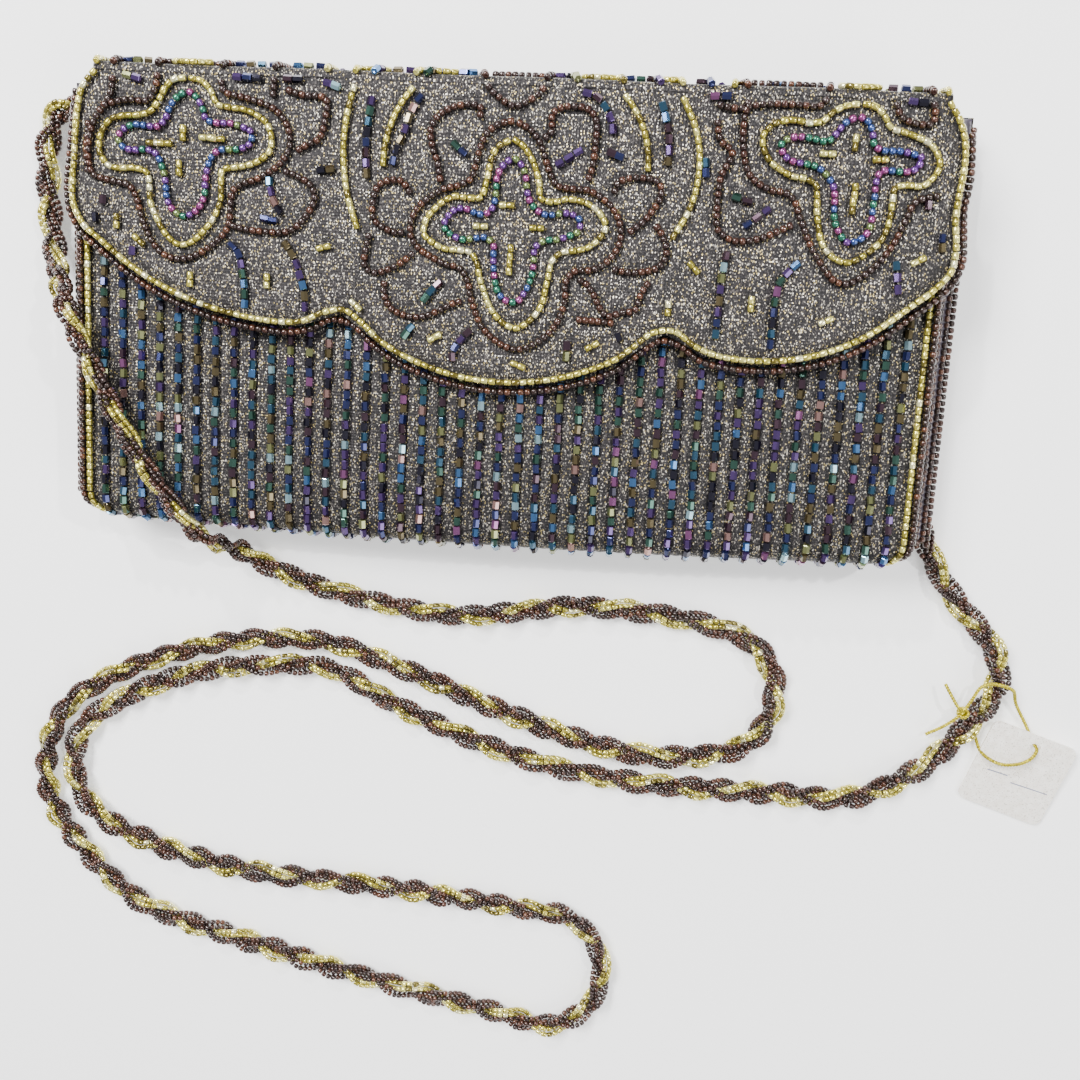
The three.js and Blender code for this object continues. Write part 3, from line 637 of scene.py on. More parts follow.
def body_ways(fine):
    return np.concatenate([np.linspace(0, 1, fine), np.linspace(1, 2, 21)[1:], np.linspace(2, 3, fine)[1:]])


def half_width(v):
    """Half the cover's width: it narrows from the back to the front, with rounded corners at the base."""
    round_base = np.clip(v - 1, 0, 1)
    return BACK_HALF + (FRONT_HALF - BACK_HALF) * round_base - 2.6 * np.sin(np.pi * round_base)


def build_cover():
    """One piece of fabric folded round the bottom: the back, the base and the front."""
    v = body_ways(60)[:, None]
    x = np.linspace(-1, 1, 461)[None] * half_width(v)
    obj = grid_sheet("body_cover_soft", body_skin(x, v, 0), body_skin(x, v, FABRIC), LAME_BODY)
    settle(obj, "root", "lame_fabric", "body_cover")


def build_lining():
    """The satin inside. Past the edges of the boards it turns out to meet the cover."""
    ends = np.linspace(0.004, 0.05, 8)
    v = np.concatenate([ends, 0.05 + body_ways(40)[1:-1] * (2.9 / 3), 3 - ends[::-1]])[:, None]
    x = np.sin(np.linspace(-1, 1, 141) * np.pi / 2)[None] * (half_width(v) - 0.5)
    from_side, from_end = half_width(v) - np.abs(x), 100 * np.minimum(v, 3 - v)
    base = smoothstep(1 - np.abs(2 * v - 3), 0, 0.3)
    flat = smoothstep(from_side, 0.6, 3.6) * smoothstep(from_end, 0.3, 1.9)
    flat = (flat * (1 - smoothstep(np.abs(x), 92, 100) * base))[..., None]
    wrinkle = 0.06 * np.sin(x / 6 + 2 * np.sin(3 * v))

    def layer(inwards):
        return body_skin(x, v, 0.9 + inwards) * (1 - flat) + body_skin(x, v, 2.6 + inwards, False) * flat

    outer, inner = layer(0), layer(0.5)
    inner[..., 2] += wrinkle
    obj = grid_sheet("body_lining_soft", outer, inner, SATIN)
    settle(obj, "root", "satin_lining", "body_lining")


def build_gusset(side, sign):
    """The narrow side wall, from edge to edge of the cover and folded inwards with a soft crease."""
    y = np.linspace(box(f"{side}_gusset")[1][1], BEND_Y, 56)
    round_base = np.linspace(0, 0.47, 15)[1:]
    back = np.concatenate([(BACK_TOP - y) / (BACK_TOP - BEND_Y), 1 + round_base])[:, None]
    front = np.concatenate([2 + (y - BEND_Y) / (MOUTH_Y - BEND_Y), 2 - round_base])[:, None]
    rear_edge, front_edge = (body_skin(half_width(v) - 0.8, v, 0.7) for v in (back, front))
    gap = front_edge[..., 2] - rear_edge[..., 2]
    t = np.linspace(0, 1, 25)[None]
    rung = rear_edge + (front_edge - rear_edge) * t[..., None]
    along = rung[..., 1]
    fold = (1 - np.abs(2 * t - 1) ** 1.6) * (1.9 + 0.35 * np.sin(along / 7) * np.sin(3 * along / 11))
    fold = fold * gap / gap.max()

    def skin(depth):
        return np.stack([sign * (rung[..., 0] - fold - depth), along, rung[..., 2]], -1)

    obj = grid_sheet(f"{side}_gusset_soft", skin(0), skin(0.8), EDGE)
    settle(obj, "root", "edge_fabric", f"{side}_gusset")
    strings = ((2, 4), (7, 6.5), (12, 1.5), (17, 6.5), (22, 4))
    lines = [skin(-0.62)[: (gap > least).sum(), column] for column, least in strings]
    seeds(f"{side}_gusset_beads", "root", "brown", lines, 25 + int(sign))


def row_tops():
    """The rows of cut beads: each row's x and its upper end, from the teeth of the CAD comb."""
    points, _ = welded("front_beadwork")
    upper = points[(points[:, 2] > points[:, 2].max() - 0.01) & (points[:, 1] > BEND_Y + 3)]
    xs = np.unique(np.round(upper[:, 0], 2))
    pairs = xs.reshape(-1, 2)
    return [(pair.mean(), upper[np.abs(upper[:, 0] - pair[0]) < 0.02, 1].max()) for pair in pairs]


def cut_row(x, start, end):
    """Cut beads on the body's cover from one way round to another: places, directions and outward normals."""
    v = np.linspace(start, end, 200)
    height = CUT_RADIUS * 0.82
    line = body_skin(x, v, -height)
    places, along = spaced(line, CUT_PITCH)
    middle = body_skin(x, v, 4.0, False)
    nearest = np.argmin(np.linalg.norm(line[:, None] - places[None], axis=2), axis=0)
    return places, along, normalised(line[nearest] - middle[nearest])


def build_cut_rows():
    """The upright rows of cut beads on the front, round the base and up the back."""
    rows = row_tops()
    rng = np.random.default_rng(31)
    parts = {"front": [], "base": [], "back": []}
    for x, top in rows:
        bend = BEND_Y - BOTTOM_BOW * max(0, 1 - (x / FRONT_HALF) ** 2)
        upper = 2 + (top - bend) / (MOUTH_Y - bend)
        parts["front"].append(cut_row(x, 2.0, upper))
        parts["base"].append(cut_row(x, 1.0, 2.0))
        parts["back"].append(cut_row(x, 0.02, 1.0))
    for place, found in parts.items():
        places, along, up = (np.concatenate([row[k] for row in found]) for k in range(3))
        places = places + rng.normal(0, 0.07, places.shape) * [1, 1, 0.3]
        obj = beads(
            f"{place}_cut_beads", "root", "cut_beads", CUT_GLASS, CUT, (CUT_RADIUS, CUT_LENGTH),
            places, along, up, 40 + len(place),
        )
        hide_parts(f"{place}_beadwork")


def build_edge_rows():
    """Strings of seed beads along the sides of the front and the back."""
    for side in ("left", "right"):
        for name, kind in (("front_gold_row", "gold"), ("front_brown_row", "brown"), ("back_brown_row", "brown")):
            node = f"{side}_{name}"
            line = ridge(node)
            lines = [line]
            if "back" in name:
                line[:, 0] -= np.sign(line[0, 0]) * 0.8
            if "front" in name:
                turn = np.linspace(0, 1, 12)
                x = line[0, 0] - np.sign(line[0, 0]) * 3.4 * turn**1.6
                lines.append(body_skin(x, 2 - 0.62 * turn, -0.66))
            seeds(f"{node}_beads", "root", kind, lines, len(node), [node])


def build_piping():
    line = ridge("mouth_piping")
    cord = twisted(curve(line, steps=60), 0.42, 0.36, 2.4, 3)
    obj = mesh_object("mouth_piping_cord", *cord, [EDGE])
    settle(obj, "root", "edge_fabric", "mouth_piping")


# ---- Flap ------------------------------------------------------------------------------------------

# Brown seed-bead petals outside the closed rows round the crosses.
PETALS = [
    [(-95, 44.5), (-89, 46), (-84, 46), (-82, 49), (-81.5, 52.4)],
    [(-63.5, 18.5), (-60, 17.8), (-55, 17.4), (-50, 17.6), (-46.5, 20), (-43.5, 25), (-44.5, 28.5), (-48, 30.5),
     (-51, 31.5)],
    [(-50.7, 49.6), (-46.9, 48.6), (-41.4, 47.9), (-41.4, 43), (-42.6, 39.2), (-45.4, 37.6), (-48, 36)],
    [(-53.6, 52.4), (-53.8, 47.7)],
    [(-13.7, 30.5), (-14.6, 34.8), (-16, 38.4), (-16.4, 42.6), (-13.8, 46.1), (-9, 47.9), (-5.3, 47.5),
     (-5.2, 45)],
    [(-4, 52.6), (-2, 50.5), (2.5, 48), (7, 50), (9.5, 52.6)],
    [(9.6, 41), (11.4, 42.8), (11.5, 46.6), (14.4, 48.3), (19.3, 48), (21.5, 45.5), (21.7, 41.2), (21.3, 35.4),
     (20.4, 32.2)],
    [(-20.5, 27.5), (-23.3, 30.5), (-27.8, 29.6), (-29.4, 26.4), (-29.2, 21.5), (-25, 18.9), (-21.8, 18.8)],
    [(-30.2, 18.4), (-31.2, 11.4), (-28.9, 9.3), (-25.3, 10.2), (-21.9, 12.2), (-19.3, 14.4)],
    [(-26.2, 7.6), (-26.2, 4.6), (-24.4, 1.2), (-20.2, -0.4), (-16.3, -0.2), (-12.5, 1.5), (-9.3, 3.2),
     (-7.4, 3.6)],
    [(26.5, 29.5), (27.7, 32.4), (32.2, 33.4), (36.5, 32.6), (37.3, 29.4), (35.3, 25.7), (33.5, 23.5),
     (30.4, 21)],
    [(36.5, 23.2), (38.5, 20.5), (39.5, 16.8), (38, 13.8), (34.9, 12.6), (31.1, 12.2), (27.2, 12.8)],
    [(36, 10.4), (34.3, 7.5), (33.2, 3.8), (30, 3), (27, 2), (25, 3.8), (23.2, 7), (21.1, 9.4), (19.4, 10)],
    [(19.6, 0.9), (25.5, 0.7), (28.5, 0.4)],
    [(48.8, 46.9), (49.8, 42.4), (52.7, 39.9), (51.4, 36.2), (50.4, 33.4), (50.4, 24.3), (52, 21.7),
     (55.3, 20.4), (60, 21.1), (64.1, 22.8), (67.7, 24.7)],
    [(48.5, 50), (53, 49.4), (59, 50.5), (66, 50.7), (71, 50.5), (73, 52.4)],
    [(87.8, 52), (89.5, 48.8), (92.8, 47.6), (96.2, 47.8), (96.6, 50.6), (96, 52.4)],
    [(-98.6, 29), (-98.9, 35), (-98.3, 41)],
]

# Short strings of cut beads, from the fold downward or outward.
SPRAYS = [
    [(-64, 14.3), (-61.5, 12), (-60.4, 7.3), (-60, 4.7), (-59.8, -0.8)],
    [(-50.7, 15.5), (-48.2, 12), (-46.6, 8), (-45.4, 4), (-45.2, -0.8)],
    [(-54.5, 30), (-53.5, 25.2), (-51.4, 21.4)],
    [(-56.2, 20.6), (-52.2, 20)],
    [(-43, 31.8), (-38.8, 32.4)],
    [(-63.5, 52), (-56.5, 52)],
    [(-51.6, 52), (-46.8, 52)],
    [(-42, 51.6), (-38, 50.6)],
    [(-89.8, 51.8), (-85.5, 50.6)],
    [(-30.4, 49), (-31.5, 40), (-31.2, 30.5)],
    [(-18.8, 50), (-21, 46.4), (-22.4, 42.3), (-24.7, 36.5), (-25.3, 33.5)],
    [(-11.4, 39.5), (-7.9, 36.7)],
    [(12.6, 35.2), (18.9, 39.2)],
    [(17.8, 51.6), (21.6, 50.4), (24.6, 46.5), (25.6, 42.5)],
    [(24.6, 38.8), (28.1, 37.6)],
    [(36, 50.2), (38.2, 43), (38.4, 36)],
    [(-12.6, 8.2), (-15, 5.6), (-17, 3.2)],
    [(-19, -2.2), (-21.3, -5.4)],
    [(-4.9, -2.6), (-8, -6), (-9.2, -8.6), (-9, -10.4)],
    [(29.4, -1.6), (30, -3.6)],
    [(17.8, -4), (17.9, -9)],
    [(46.8, 38.3), (47.2, 34)],
    [(53.2, 30.4), (58.2, 29)],
    [(62.4, 28.2), (56.4, 23.4)],
    [(53.4, 18.2), (52.6, 12), (52.3, 5), (52.2, -2)],
    [(69.8, 16.6), (66.2, 12.3), (65.2, 8), (65, 3.5), (65, -3.6)],
    [(91.4, 18), (92.6, 10)],
    [(101.2, 24.2), (101.4, 20)],
    [(46.5, 51.8), (51.8, 52)],
    [(90.4, 52.2), (95, 52.2)],
    [(-94.8, 23.8), (-94.8, 22.2)],
    [(-96.8, 19.6), (-96.8, 18.2)],
    [(-87.5, 12.2), (-87.5, 10.7)],
    [(97.3, 31), (97.3, 29.4)],
]

# Gold dashes: a middle and a direction in degrees. Each is a pair of beads.
DASHES = [
    (-91.5, 18.3, 90), (-86, 14, -40), (-73.3, 5.5, 90), (-54.5, 6, 90), (-41, 14.5, 15), (-33, 1.5, -40),
    (-13.7, -5, 30), (6.5, -10.4, -20), (23.7, -5, 30), (40.8, 4.5, 90), (46, 14, -45), (59.8, 6.5, 90),
    (77, 3.5, 25), (96.4, 18, 30), (-75.3, 39, 90), (-76.2, 31, 90), (-82.4, 36.5, 0), (-67, 38, 0),
    (2, 26, 0), (3.3, 12, 90), (-3.9, 21, 0), (9.3, 21.2, 0), (79.9, 43, 90), (80.8, 32.6, 90),
    (74, 40.4, 0), (85.8, 39.6, 0), (-79.8, 36.5, 0), (-69.6, 38.2, 0), (3.4, 15.4, 90), (80.6, 29.2, 90),
]


def flap_lift(x, y):
    """How far the flap's free edge stands up, in soft waves that fade toward the fold."""
    free = np.clip((FLAP_TOP - y) / 66, 0, 1)
    wave = 0.75 + 0.45 * np.sin(x / 15 + 0.4) + 0.25 * np.sin(x / 7.3 + 1.9)
    return wave * free**2 + 0.25 * np.sin(np.pi * free) * (1 - (x / 104) ** 2)


def on_flap(points, height):
    """A line on the flap through (x, y) points, at a height above its fabric."""
    flat = np.asarray(points, float)[:, :2]
    return np.column_stack([flat, FLAP_Z + flap_lift(flat[:, 0], flat[:, 1]) + height])


def flap_ridge(node, closed=False):
    return on_flap(curve(ridge(node), closed), SEED_RADIUS * 0.85)


FLAP_STRINGS = {
    "flap_gold_row": "gold",
    "left_cross_gold": "gold", "centre_cross_gold": "gold", "right_cross_gold": "gold",
    "left_cross_iris": "iris", "centre_cross_iris": "iris", "right_cross_iris": "iris",
    "left_petal_row": "brown", "centre_petal_row": "brown", "right_petal_row": "brown",
    "left_outer_arc": "gold", "left_inner_arc": "gold", "right_inner_arc": "gold", "right_outer_arc": "gold",
}


def outline_of(node, spacing=1.5):
    """The outer outline of a flat CAD plate, in order and evenly spaced."""
    mesh = NODES[node].data
    sides = {}
    for polygon in mesh.polygons:
        if polygon.normal.z > 0.5:
            corners = [tuple(np.round(np.array(mesh.vertices[i].co) * 1000, 3)) for i in polygon.vertices]
            sides.update(dict.fromkeys(zip(corners, corners[1:] + corners[:1])))
    ahead = {a: b for a, b in sides if (b, a) not in sides}
    first = max(ahead, key=lambda p: p[1] - 1e-3 * p[0])
    walk = [first]
    while ahead[walk[-1]] != first:
        walk.append(ahead[walk[-1]])
    line = np.array(walk + [first])[:, :2]
    return spaced(np.column_stack([line, np.zeros(len(line))]), spacing)[0][:, :2]


def build_flap_fabric(lines):
    """The flap's cover, pulled down a little along every string that is sewn to it, and its lining."""
    sewn = np.concatenate([spaced(line, 0.8)[0][:, :2] for line in lines])

    def top(x, y):
        flat = np.stack([x, y], 1)
        pucker = 0.38 * np.exp(-((distance_to(flat, sewn) / 1.5) ** 2))
        weave = 0.1 * np.sin(x / 2.1) * np.sin(y / 1.9)
        edge = 0.35 * np.exp(-distance_to(flat, cover_line) / 0.8)
        return FLAP_Z + 0.12 + flap_lift(x, y) - pucker + weave - edge

    cover_line = outline_of("flap_cover")
    obj = panel("flap_cover_soft", cover_line, top, 0.8, 0.9, LAME_FLAP)
    settle(obj, "flap", "lame_fabric", "flap_cover")
    lining_top = box("flap_lining")[1][2]
    board_line = outline_of("flap_board")

    def under(x, y):
        flat = np.stack([x, y], 1)
        beyond = np.where(inside(flat, board_line), 0, distance_to(flat, board_line))
        return lining_top + flap_lift(x, y) * smoothstep(beyond, 0, 3) + 0.05 * np.sin(x / 5) * np.sin(y / 8)

    obj = panel("flap_lining_soft", outline_of("flap_lining", 2.5), under, 0.5, 3.0, SATIN)
    settle(obj, "flap", "satin_lining", "flap_lining")


def build_flap_strings():
    lines = {node: flap_ridge(node) for node in FLAP_STRINGS}
    for i, (node, kind) in enumerate(FLAP_STRINGS.items()):
        seeds(f"{node}_beads", "flap", kind, [lines[node]], 60 + i, [node])
    low = curve(ridge("flap_brown_row"))
    low[:, 2] += flap_lift(low[:, 0], low[:, 1])
    seeds("flap_brown_row_beads", "flap", "brown", [low], 80, ["flap_brown_row"])
    petals = [on_flap(curve(points), SEED_RADIUS * 0.85) for points in PETALS]
    seeds("flap_petal_beads", "flap", "brown", petals, 81)
    dashes = []
    for x, y, turn in DASHES:
        step = BEAD_PITCH["gold"] * np.array([math.cos(math.radians(turn)), math.sin(math.radians(turn))])
        dashes.append(on_flap([(x, y) - step, (x, y) + step], SEED_RADIUS * 0.85))
    seeds("flap_dash_beads", "flap", "gold", dashes, 82)
    sprays = [on_flap(curve(points), CUT_RADIUS * 0.82) for points in SPRAYS]
    found = [spaced(line, CUT_PITCH) for line in sprays]
    places, along = (np.concatenate([f[k] for f in found]) for k in range(2))
    up = np.broadcast_to([0.0, 0.0, 1.0], places.shape)
    beads(
        "flap_spray_beads", "flap", "cut_beads", CUT_GLASS, CUT, (CUT_RADIUS, CUT_LENGTH), places, along, up, 83
    )
    return [*lines.values(), *petals, *dashes, *sprays]


# ---- Spine -----------------------------------------------------------------------------------------


def spine_line(depth, upper):
    """Half of the spine's section as (y, z) points: round the rear fold, or round the front fold."""
    middle = (REAR_FOLD[2] + FRONT_FOLD[2]) / 2
    face = REAR_FOLD[1] + 1.7 - depth
    if upper:
        return [
            (face + 0.8, middle), (face + 0.65, middle + 3.5), (face + 0.25, FRONT_FOLD[2] - 1.4),
            (face - 0.3, FLAP_Z - 1.2 - 0.4 * depth), (face - 1.2, FLAP_Z - 0.2 - depth),
            (face - 2.4, FLAP_Z + 0.02 - depth),
        ]
    return [
        (face - 2.6, BACK_Z + 0.1 + depth), (face - 1.2, BACK_Z + 0.25 + depth),
        (face - 0.3, BACK_Z + 1.3 + 0.4 * depth),
        (face + 0.25, REAR_FOLD[2] + 1.4), (face + 0.65, middle - 3.5), (face + 0.8, middle),
    ]


def spine_strip(name, margin, near, far, upper, material):
    """Fabric across one fold, shaped round it."""
    share = np.linspace(-1, 1, 121)

    def skin(depth):
        line = curve(np.array(spine_line(depth, upper)), steps=6)
        near_flap = smoothstep(line[:, 1], REAR_FOLD[2], FLAP_Z)[:, None]
        left, right = -SPINE_HALF + margin + 3.6 * near_flap, SPINE_HALF - margin - 0.6 * near_flap
        x = left + (right - left) * (share[None] + 1) / 2
        y = line[:, 0:1] + 0.12 * np.sin(x / 9)
        lift = EDGE_LIFT * smoothstep(np.abs(x), FLAT_HALF, LIFTED_HALF)
        z = line[:, 1:2] + smoothstep(-line[:, 1:2], -REAR_FOLD[2] - 2, -BACK_Z) * lift
        return np.stack([x, y, z], -1)

    obj = grid_sheet(name, skin(near), skin(far), material)
    bend_over_fold(obj, upper)
    return obj


def bend_over_fold(obj, upper):
    """Bakes a piece's placement into its mesh. The ends of the upper or the lower fold are worked out but not
    used, so the piece is not bent.
    """
    if upper:
        ends = (0, FRONT_FOLD[1] + 1.5, FRONT_FOLD[2] - 4), (0, FRONT_FOLD[1] - 1.4, FLAP_Z)
        [np.array(p) / 1000 for p in ends]
        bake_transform(obj)
    else:
        ends = (0, REAR_FOLD[1] - 1.4, BACK_Z), (0, REAR_FOLD[1] + 1.5, REAR_FOLD[2] + 4)
        [np.array(p) / 1000 for p in ends]
        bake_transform(obj)


# Strings that cross the front fold: the kind, x where they leave the flap and x where they reach the spine.
CROSSINGS = [
    ("gold", -96.4, -97.4), ("gold", 99.2, 99.6), ("gold", -34.6, -33.6), ("gold", -20.6, -16.8),
    ("gold", 27.4, 23.6), ("gold", 40.6, 38.6), ("gold", -41.2, -41.6), ("gold", 52, 53.4),
    ("brown", -92.4, -91.4), ("brown", -81.5, -82.6), ("brown", -66.2, -64.8), ("brown", -53.6, -52.6),
    ("brown", -4.2, -7), ("brown", 9.6, 12.6), ("brown", 55.2, 53.2), ("brown", 73.2, 74.4), ("brown", 96, 95),
    ("cut", -30.2, -27.6), ("cut", -18.2, -13.4), ("cut", 17, 12.8), ("cut", 35.6, 32.8), ("cut", 47, 45.4),
]

# Strings that lie along the fold: the kind, both ends and how far round the fold they lie.
ALONG_FOLD = [
    ("cut", -91.5, -84.5, 0.44), ("brown", -84, -77, 0.5), ("gold", -79, -69.6, 0.34), ("cut", -64.6, -54, 0.46),
    ("brown", -76, -65.4, 0.62), ("cut", -50.6, -42.6, 0.42),
    ("gold", -33.6, -27.6, 0.5), ("cut", -27, -21.4, 0.5),
    ("gold", -20.4, -11.4, 0.46), ("cut", -11, -7, 0.46), ("brown", -3.6, 8.8, 0.56), ("cut", 11.4, 16, 0.44),
    ("gold", 17.4, 26.6, 0.48), ("cut", 27.4, 34.6, 0.52), ("gold", 34.8, 40.4, 0.46), ("cut", 44, 47.6, 0.58),
    ("brown", 56, 72.4, 0.42), ("cut", 60, 69, 0.62), ("gold", 75.6, 85, 0.34), ("cut", 86.6, 94.6, 0.46),
]


def fold_line(xs, rounds, height):
    """Points on the outside of the front fold. Going round is 0 at the flap and 1 at the spine."""
    section = curve(np.array(spine_line(-height, True)), steps=8)[::-1]
    run = np.concatenate([[0], np.cumsum(np.linalg.norm(np.diff(section, axis=0), axis=1))])
    at = np.asarray(rounds) * run[-1]
    return np.stack([xs, np.interp(at, run, section[:, 0]), np.interp(at, run, section[:, 1])], 1)


def build_fold_beads():
    """Strings of the flap's pattern that run over and along the front fold."""
    for kind in ("gold", "brown", "cut"):
        height = SEED_RADIUS * 0.8
        lines = [
            fold_line(np.linspace(x0, x1, 30), np.linspace(0.06, 0.9, 30), height)
            for k, x0, x1 in CROSSINGS if k == kind
        ]
        for k, x0, x1, middle in ALONG_FOLD:
            if k == kind:
                t = np.linspace(0, 1, 30)
                bow = 0.16 * np.sin(np.pi * t) if kind == "gold" else 0.06 * np.sin(np.pi * t)
                lines.append(fold_line(x0 + (x1 - x0) * t, middle + 0.04 - bow, height))
        if kind == "cut":
            found = [spaced(line, CUT_PITCH) for line in lines]
            places, along = (np.concatenate([f[k] for f in found]) for k in range(2))
            up = np.broadcast_to([0.0, 0.7, 0.7], places.shape)
            size = (CUT_RADIUS, CUT_LENGTH)
            obj = beads("fold_cut_beads", None, "cut_beads", CUT_GLASS, CUT, size, places, along, up, 91)
        else:
            obj = seeds(f"fold_{kind}_beads", None, kind, lines, 92 + len(kind))
        bend_over_fold(obj, True)


def build_spine():
    lower = spine_strip("rear_fold_fabric", 0, 0, FABRIC, False, LAME_FLAP)
    upper = spine_strip("front_fold_fabric", 0, 0, FABRIC, True, LAME_FLAP)
    settle(lower, None, "lame_fabric", "spine_cover")
    settle(upper, None, "lame_fabric")
    lower = spine_strip("rear_fold_lining", 2, 1.3, 1.7, False, SATIN)
    upper = spine_strip("front_fold_lining", 2, 1.3, 1.7, True, SATIN)
    settle(lower, None, "satin_lining", "spine_lining")
    settle(upper, None, "satin_lining")
    build_fold_beads()
    build_spine_beads()


def build_spine_beads():
    """The rows of cut beads carried over the spine."""
    face = REAR_FOLD[1] + 1.7
    zs = np.linspace(REAR_FOLD[2] + 1.6, FRONT_FOLD[2] - 6.4, 30)
    bulge = 0.8 * np.sin(np.pi * (zs - REAR_FOLD[2]) / (FRONT_FOLD[2] - REAR_FOLD[2]))
    found = []
    for x, _ in row_tops():
        if abs(x) < SPINE_HALF - 6:
            line = np.stack([0 * zs + x, face + bulge + CUT_RADIUS * 0.8, zs], 1)
            found.append(spaced(line, CUT_PITCH))
    places, along = (np.concatenate([f[k] for f in found]) for k in range(2))
    up = np.broadcast_to([0.0, 1.0, 0.0], places.shape)
    obj = beads(
        "spine_cut_beads", "spine", "cut_beads", CUT_GLASS, CUT, (CUT_RADIUS, CUT_LENGTH), places, along, up, 90
    )
    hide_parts("spine_beadwork")


# ---- Strap -----------------------------------------------------------------------------------------


def strap_frames():
    """Closely spaced places along the strap, with its direction, its side and its upper side."""
    line = strap_line()
    places, along = spaced(line, 0.5)
    side = normalised(np.cross([0.0, 0.0, 1.0], along))
    return places, along, side, np.cross(along, side)


def build_strap():
    """A flat braid of three strands, each two strings of seed beads. One strand is gold and two are brown."""
    places, _, side, up = strap_frames()
    run = np.concatenate([[0], np.cumsum(np.linalg.norm(np.diff(places, axis=0), axis=1))])
    sway = 0.06 * np.sin(run / 31) + 0.04 * np.sin(run / 12.7)
    drawn = 1 - 0.38 * smoothstep(places[:, 2], 5, 16) + 0.1 * np.sin(run / 43)  # pulled thin over the bag
    for k, name in enumerate(("gold", "brown_a", "brown_b")):
        turn = 2 * np.pi * (run / BRAID_LENGTH + k / 3) + sway * 6
        lines = []
        for half in (-1, 1):
            twist = 0.55 * np.sin(turn / 2 + 1.7 * k + run / 23)
            across = BRAID_HALF_WIDTH * drawn * np.sin(turn) + half * STRAND_HALF_WIDTH * np.cos(twist)
            above = BRAID_HALF_HEIGHT * np.sin(2 * turn) + half * STRAND_HALF_WIDTH * np.sin(twist)
            lines.append(places + across[:, None] * side + above[:, None] * up)
        kind = name.split("_")[0]
        obj = seeds(f"strap_{name}_strand", "root", kind, lines, 100 + k, size=STRAP_BEAD_SIZE)
        if k == 0:
            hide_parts("strap")


def twisted(line, radius, ply_radius, lay, plies):
    """Points and faces of a cord of several plies laid round a line."""
    run = np.concatenate([[0], np.cumsum(np.linalg.norm(np.diff(line, axis=0), axis=1))])
    at = np.linspace(0, run[-1], max(8, int(run[-1] / (lay / 10))))
    line = np.stack([np.interp(at, run, line[:, k]) for k in range(3)], 1)
    along = normalised(np.gradient(line, axis=0))
    side = normalised(np.cross(along, np.array([0.13, 0.21, 0.97])))
    lift = np.cross(along, side)
    points, faces, ends = [], [], []
    sides = 6
    for ply in range(plies):
        turn = 2 * np.pi * (at / lay + ply / plies)
        middle = line + radius * (np.cos(turn)[:, None] * side + np.sin(turn)[:, None] * lift)
        heading = normalised(np.gradient(middle, axis=0))
        s = normalised(np.cross(heading, lift + 1e-3))
        u = np.cross(heading, s)
        ring = [
            middle + ply_radius * (math.cos(a) * s + math.sin(a) * u)
            for a in np.arange(sides) * 2 * np.pi / sides
        ]
        start = sum(len(p) for p in points)
        points.append(np.stack(ring, 1).reshape(-1, 3))
        index = start + np.arange(len(at) * sides).reshape(len(at), sides)
        ahead = np.roll(index, -1, 1)
        faces.append(np.stack([index[:-1], ahead[:-1], ahead[1:], index[1:]], -1).reshape(-1, 4))
        ends += [index[0, ::-1], index[-1]]
    return np.concatenate(points), [np.concatenate(faces), np.array(ends)]


def build_bindings():
    """Thread whipped round each end of the strap where it is sewn to the bag."""
    for side in ("left", "right"):
        low, high = box(f"{side}_strap_binding")
        centre = (low + high) / 2
        places, along, across, up = strap_frames()
        near = np.argmin(np.linalg.norm(places - centre, axis=1))
        turns = np.linspace(0, 2 * np.pi * 9, 9 * 24)
        shift = np.linspace(-2.6, 2.6, len(turns))
        coil = (
            centre + shift[:, None] * along[near]
            + 3.3 * np.cos(turns)[:, None] * across[near] + 3.0 * np.sin(turns)[:, None] * up[near]
        )
        obj = mesh_object(f"{side}_strap_whipping", *twisted(coil, 0.12, 0.2, 1.6, 2), [EDGE])
        settle(obj, "root", "edge_fabric", f"{side}_strap_binding")


# ---- Tag -------------------------------------------------------------------------------------------


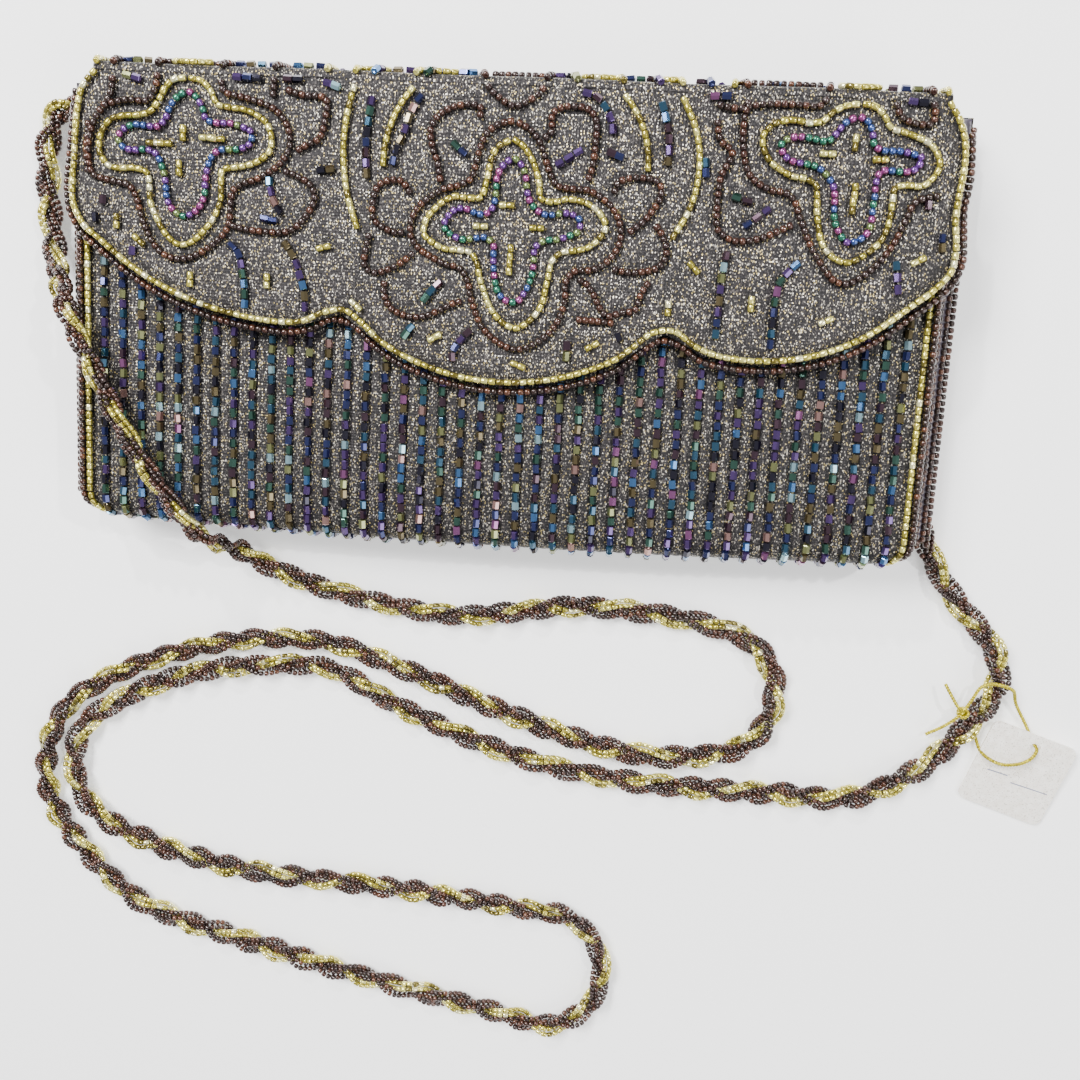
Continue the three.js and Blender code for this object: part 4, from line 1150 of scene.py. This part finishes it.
def build_cord():
    """The metallic cord: a loop round the strap, a knot, two ends and a bight through the tag's hole."""
    axis = np.array(JOINTS["tag_lift"]["axis"])
    along = -axis / np.linalg.norm(axis)
    out = np.array([along[1], -along[0], 0])

    def about(degrees, shift, reach=4.2):
        """A place beside the strap: an angle round it, 0 on its right and 90 on top, and a shift along it."""
        angle = math.radians(degrees)
        place = RING_CENTRE + reach * math.cos(angle) * out + shift * along
        return place + [0, 0, 0.92 * reach * math.sin(angle)]

    knot = about(176, -6.6, 4.9)
    loop = [
        TAG_HOLE + [-0.2, 0.9, -0.9], TAG_HOLE + [-2.6, 5.4, -0.9], TAG_HOLE + [-6.2, 11.2, 0.2],
        about(8, 3.4, 4.6), about(50, 4.4), about(90, 4.6), about(130, 3.8), about(165, 1.6),
        about(180, -2.4), knot,
    ]
    under = [
        knot, about(222, -7.4), about(258, -8.8, 4.0), about(292, -10.6, 4.0), TAG_HOLE + [-13.4, -2.4, -0.4],
        TAG_HOLE + [-9.4, -4.4, 2.2], TAG_HOLE + [-4.6, -4.2, 2.2], TAG_HOLE + [-1.2, -2.6, 1.6],
        TAG_HOLE + [0.3, -0.4, 0.7], TAG_HOLE + [-0.2, 0.9, -0.9],
    ]
    ends = [
        [knot, knot + [-2.0, 2.2, 0.9], knot + [-4.0, 5.4, 0.2], knot + [-5.0, 7.2, -0.6]],
        [knot, knot + [-2.2, -1.8, 0.7], knot + [-4.8, -4.6, -0.8], knot + [-8.0, -7.2, -2.4]],
    ]
    turn = np.linspace(0, 4.6 * np.pi, 60)
    wrap = np.stack([1.1 * np.cos(turn), 1.1 * np.sin(turn), np.linspace(-0.9, 0.9, 60)], 1)
    lines = [curve(loop), curve(under), *[curve(e) for e in ends], knot + wrap]
    parts = [twisted(line, 0.24, 0.27, 1.5, 2) for line in lines]
    points = np.concatenate([p for p, _ in parts])
    starts = np.cumsum([0] + [len(p) for p, _ in parts[:-1]])
    quads = np.concatenate([f[0] + s for (_, f), s in zip(parts, starts)])
    ends = np.concatenate([f[1] + s for (_, f), s in zip(parts, starts)])
    obj = mesh_object("tag_cord_twist", points, [quads, ends], [CORD])
    settle(obj, "cord", "tag_cord", "tag_cord")


def build_rules():
    """Two plain ruled lines on the card, where a real tag has its writing."""
    normal = Vector(JOINTS["tag_swivel"]["axis"])
    turn = math.radians(-14.5)
    across = Vector((math.cos(turn), math.sin(turn), 0))
    down = normal.cross(across).normalized() * -1
    centre = Vector(TAG_HOLE) + normal * 0.32
    points, faces = [], []
    for i, (start, end, drop) in enumerate(((-9, -3.5, 9.6), (-2, 8, 11.2))):
        for half in (-0.13, 0.13):
            for edge in (start, end):
                points.append(centre + across * edge + down * (drop + half))
        a = 4 * i
        faces.append((a, a + 2, a + 3, a + 1))
    points += [p + normal * 0.03 for p in points]
    obj = mesh_object("tag_ruled_lines", [p[:] for p in points], [np.array(prism(faces, 8))], [INK], smooth=False)
    face_out(obj)
    settle(obj, "tag", "tag_card")


def prism(faces, count):
    """Each face, its raised copy and the sides between them."""
    made = []
    for f in faces:
        raised = [i + count for i in f]
        made += [tuple(reversed(f)), tuple(raised)]
        made += [(a, b, b + count, a + count) for a, b in zip(f, f[1:] + f[:1])]
    return made


# ---- Scene -----------------------------------------------------------------------------------------


def finish_cad_nodes():
    """Materials for the CAD parts that stay in view: boards, snap and card."""
    kinds = {"board": BOARD, "snap": STEEL, "card": CARD}
    for name, obj in NODES.items():
        material = next((m for key, m in kinds.items() if key in name), EDGE)
        obj.data.materials.clear()
        obj.data.materials.append(material)


def build_floor():
    bpy.ops.mesh.primitive_plane_add(size=6, location=(0, 0, -0.0001))
    floor = bpy.context.object
    floor.name = "floor"
    m = Recipe("floor")
    white = (1, 1, 1, 1)
    floor.data.materials.append(
        m.finish(Base_Color=white, Roughness=0.9, Emission_Color=white, Emission_Strength=FLOOR_GLOW)
    )


def area_light(name, place, target, size, power, colour=(1, 1, 1)):
    light = bpy.data.lights.new(name, "AREA")
    light.shape = "DISK"
    light.size = size
    light.energy = power
    light.color = colour
    obj = bpy.data.objects.new(name, light)
    obj.location = place
    obj.rotation_euler = (Vector(target) - Vector(place)).to_track_quat("-Z", "Y").to_euler()
    bpy.context.scene.collection.objects.link(obj)


def build_lights():
    """Soft daylight from the upper left, a fill from the right and two small lamps that make the beads sparkle."""
    area_light("key", (-0.5, 0.45, 0.9), (0, -0.04, 0), 0.5, 24)
    area_light("fill", (0.75, -0.5, 0.7), (0, -0.04, 0), 0.8, 7)
    area_light("sparkle_left", (-0.25, 0.7, 0.6), (0, 0, 0), 0.04, 5)
    area_light("sparkle_right", (0.45, 0.25, 0.7), (0, 0, 0), 0.03, 4)
    world = bpy.context.scene.world or bpy.data.worlds.new("world")
    bpy.context.scene.world = world
    world.use_nodes = True
    tree = world.node_tree
    seen = tree.nodes.new("ShaderNodeLightPath").outputs["Is Camera Ray"]
    strength = tree.nodes.new("ShaderNodeMapRange")
    strength.inputs["To Min"].default_value = 0.5
    strength.inputs["To Max"].default_value = 1.0
    tree.links.new(seen, strength.inputs["Value"])
    tree.links.new(strength.outputs[0], tree.nodes["Background"].inputs["Strength"])
    tree.nodes["Background"].inputs["Color"].default_value = (1, 1, 1, 1)


def build_camera():
    """Nearly overhead, as the bag is usually shown."""
    camera = bpy.data.objects.new("camera", bpy.data.cameras.new("camera"))
    right, back = Vector(CAMERA_RIGHT), Vector(CAMERA_BACK)
    up = back.cross(right).normalized()
    rotation = Matrix((right, up, back)).transposed().to_4x4()
    camera.matrix_world = Matrix.Translation(CAMERA_PLACE) @ rotation
    camera.data.lens = CAMERA_LENS
    camera.data.sensor_width = CAMERA_SENSOR
    camera.data.clip_start = 0.01
    bpy.context.scene.collection.objects.link(camera)
    bpy.context.scene.camera = camera


build_cover()
build_lining()
build_gusset("left", -1)
build_gusset("right", 1)
build_cut_rows()
build_edge_rows()
build_piping()
build_flap_fabric(build_flap_strings())
build_spine()
build_strap()
build_bindings()
build_cord()
build_rules()
finish_cad_nodes()
build_floor()
build_lights()
build_camera()
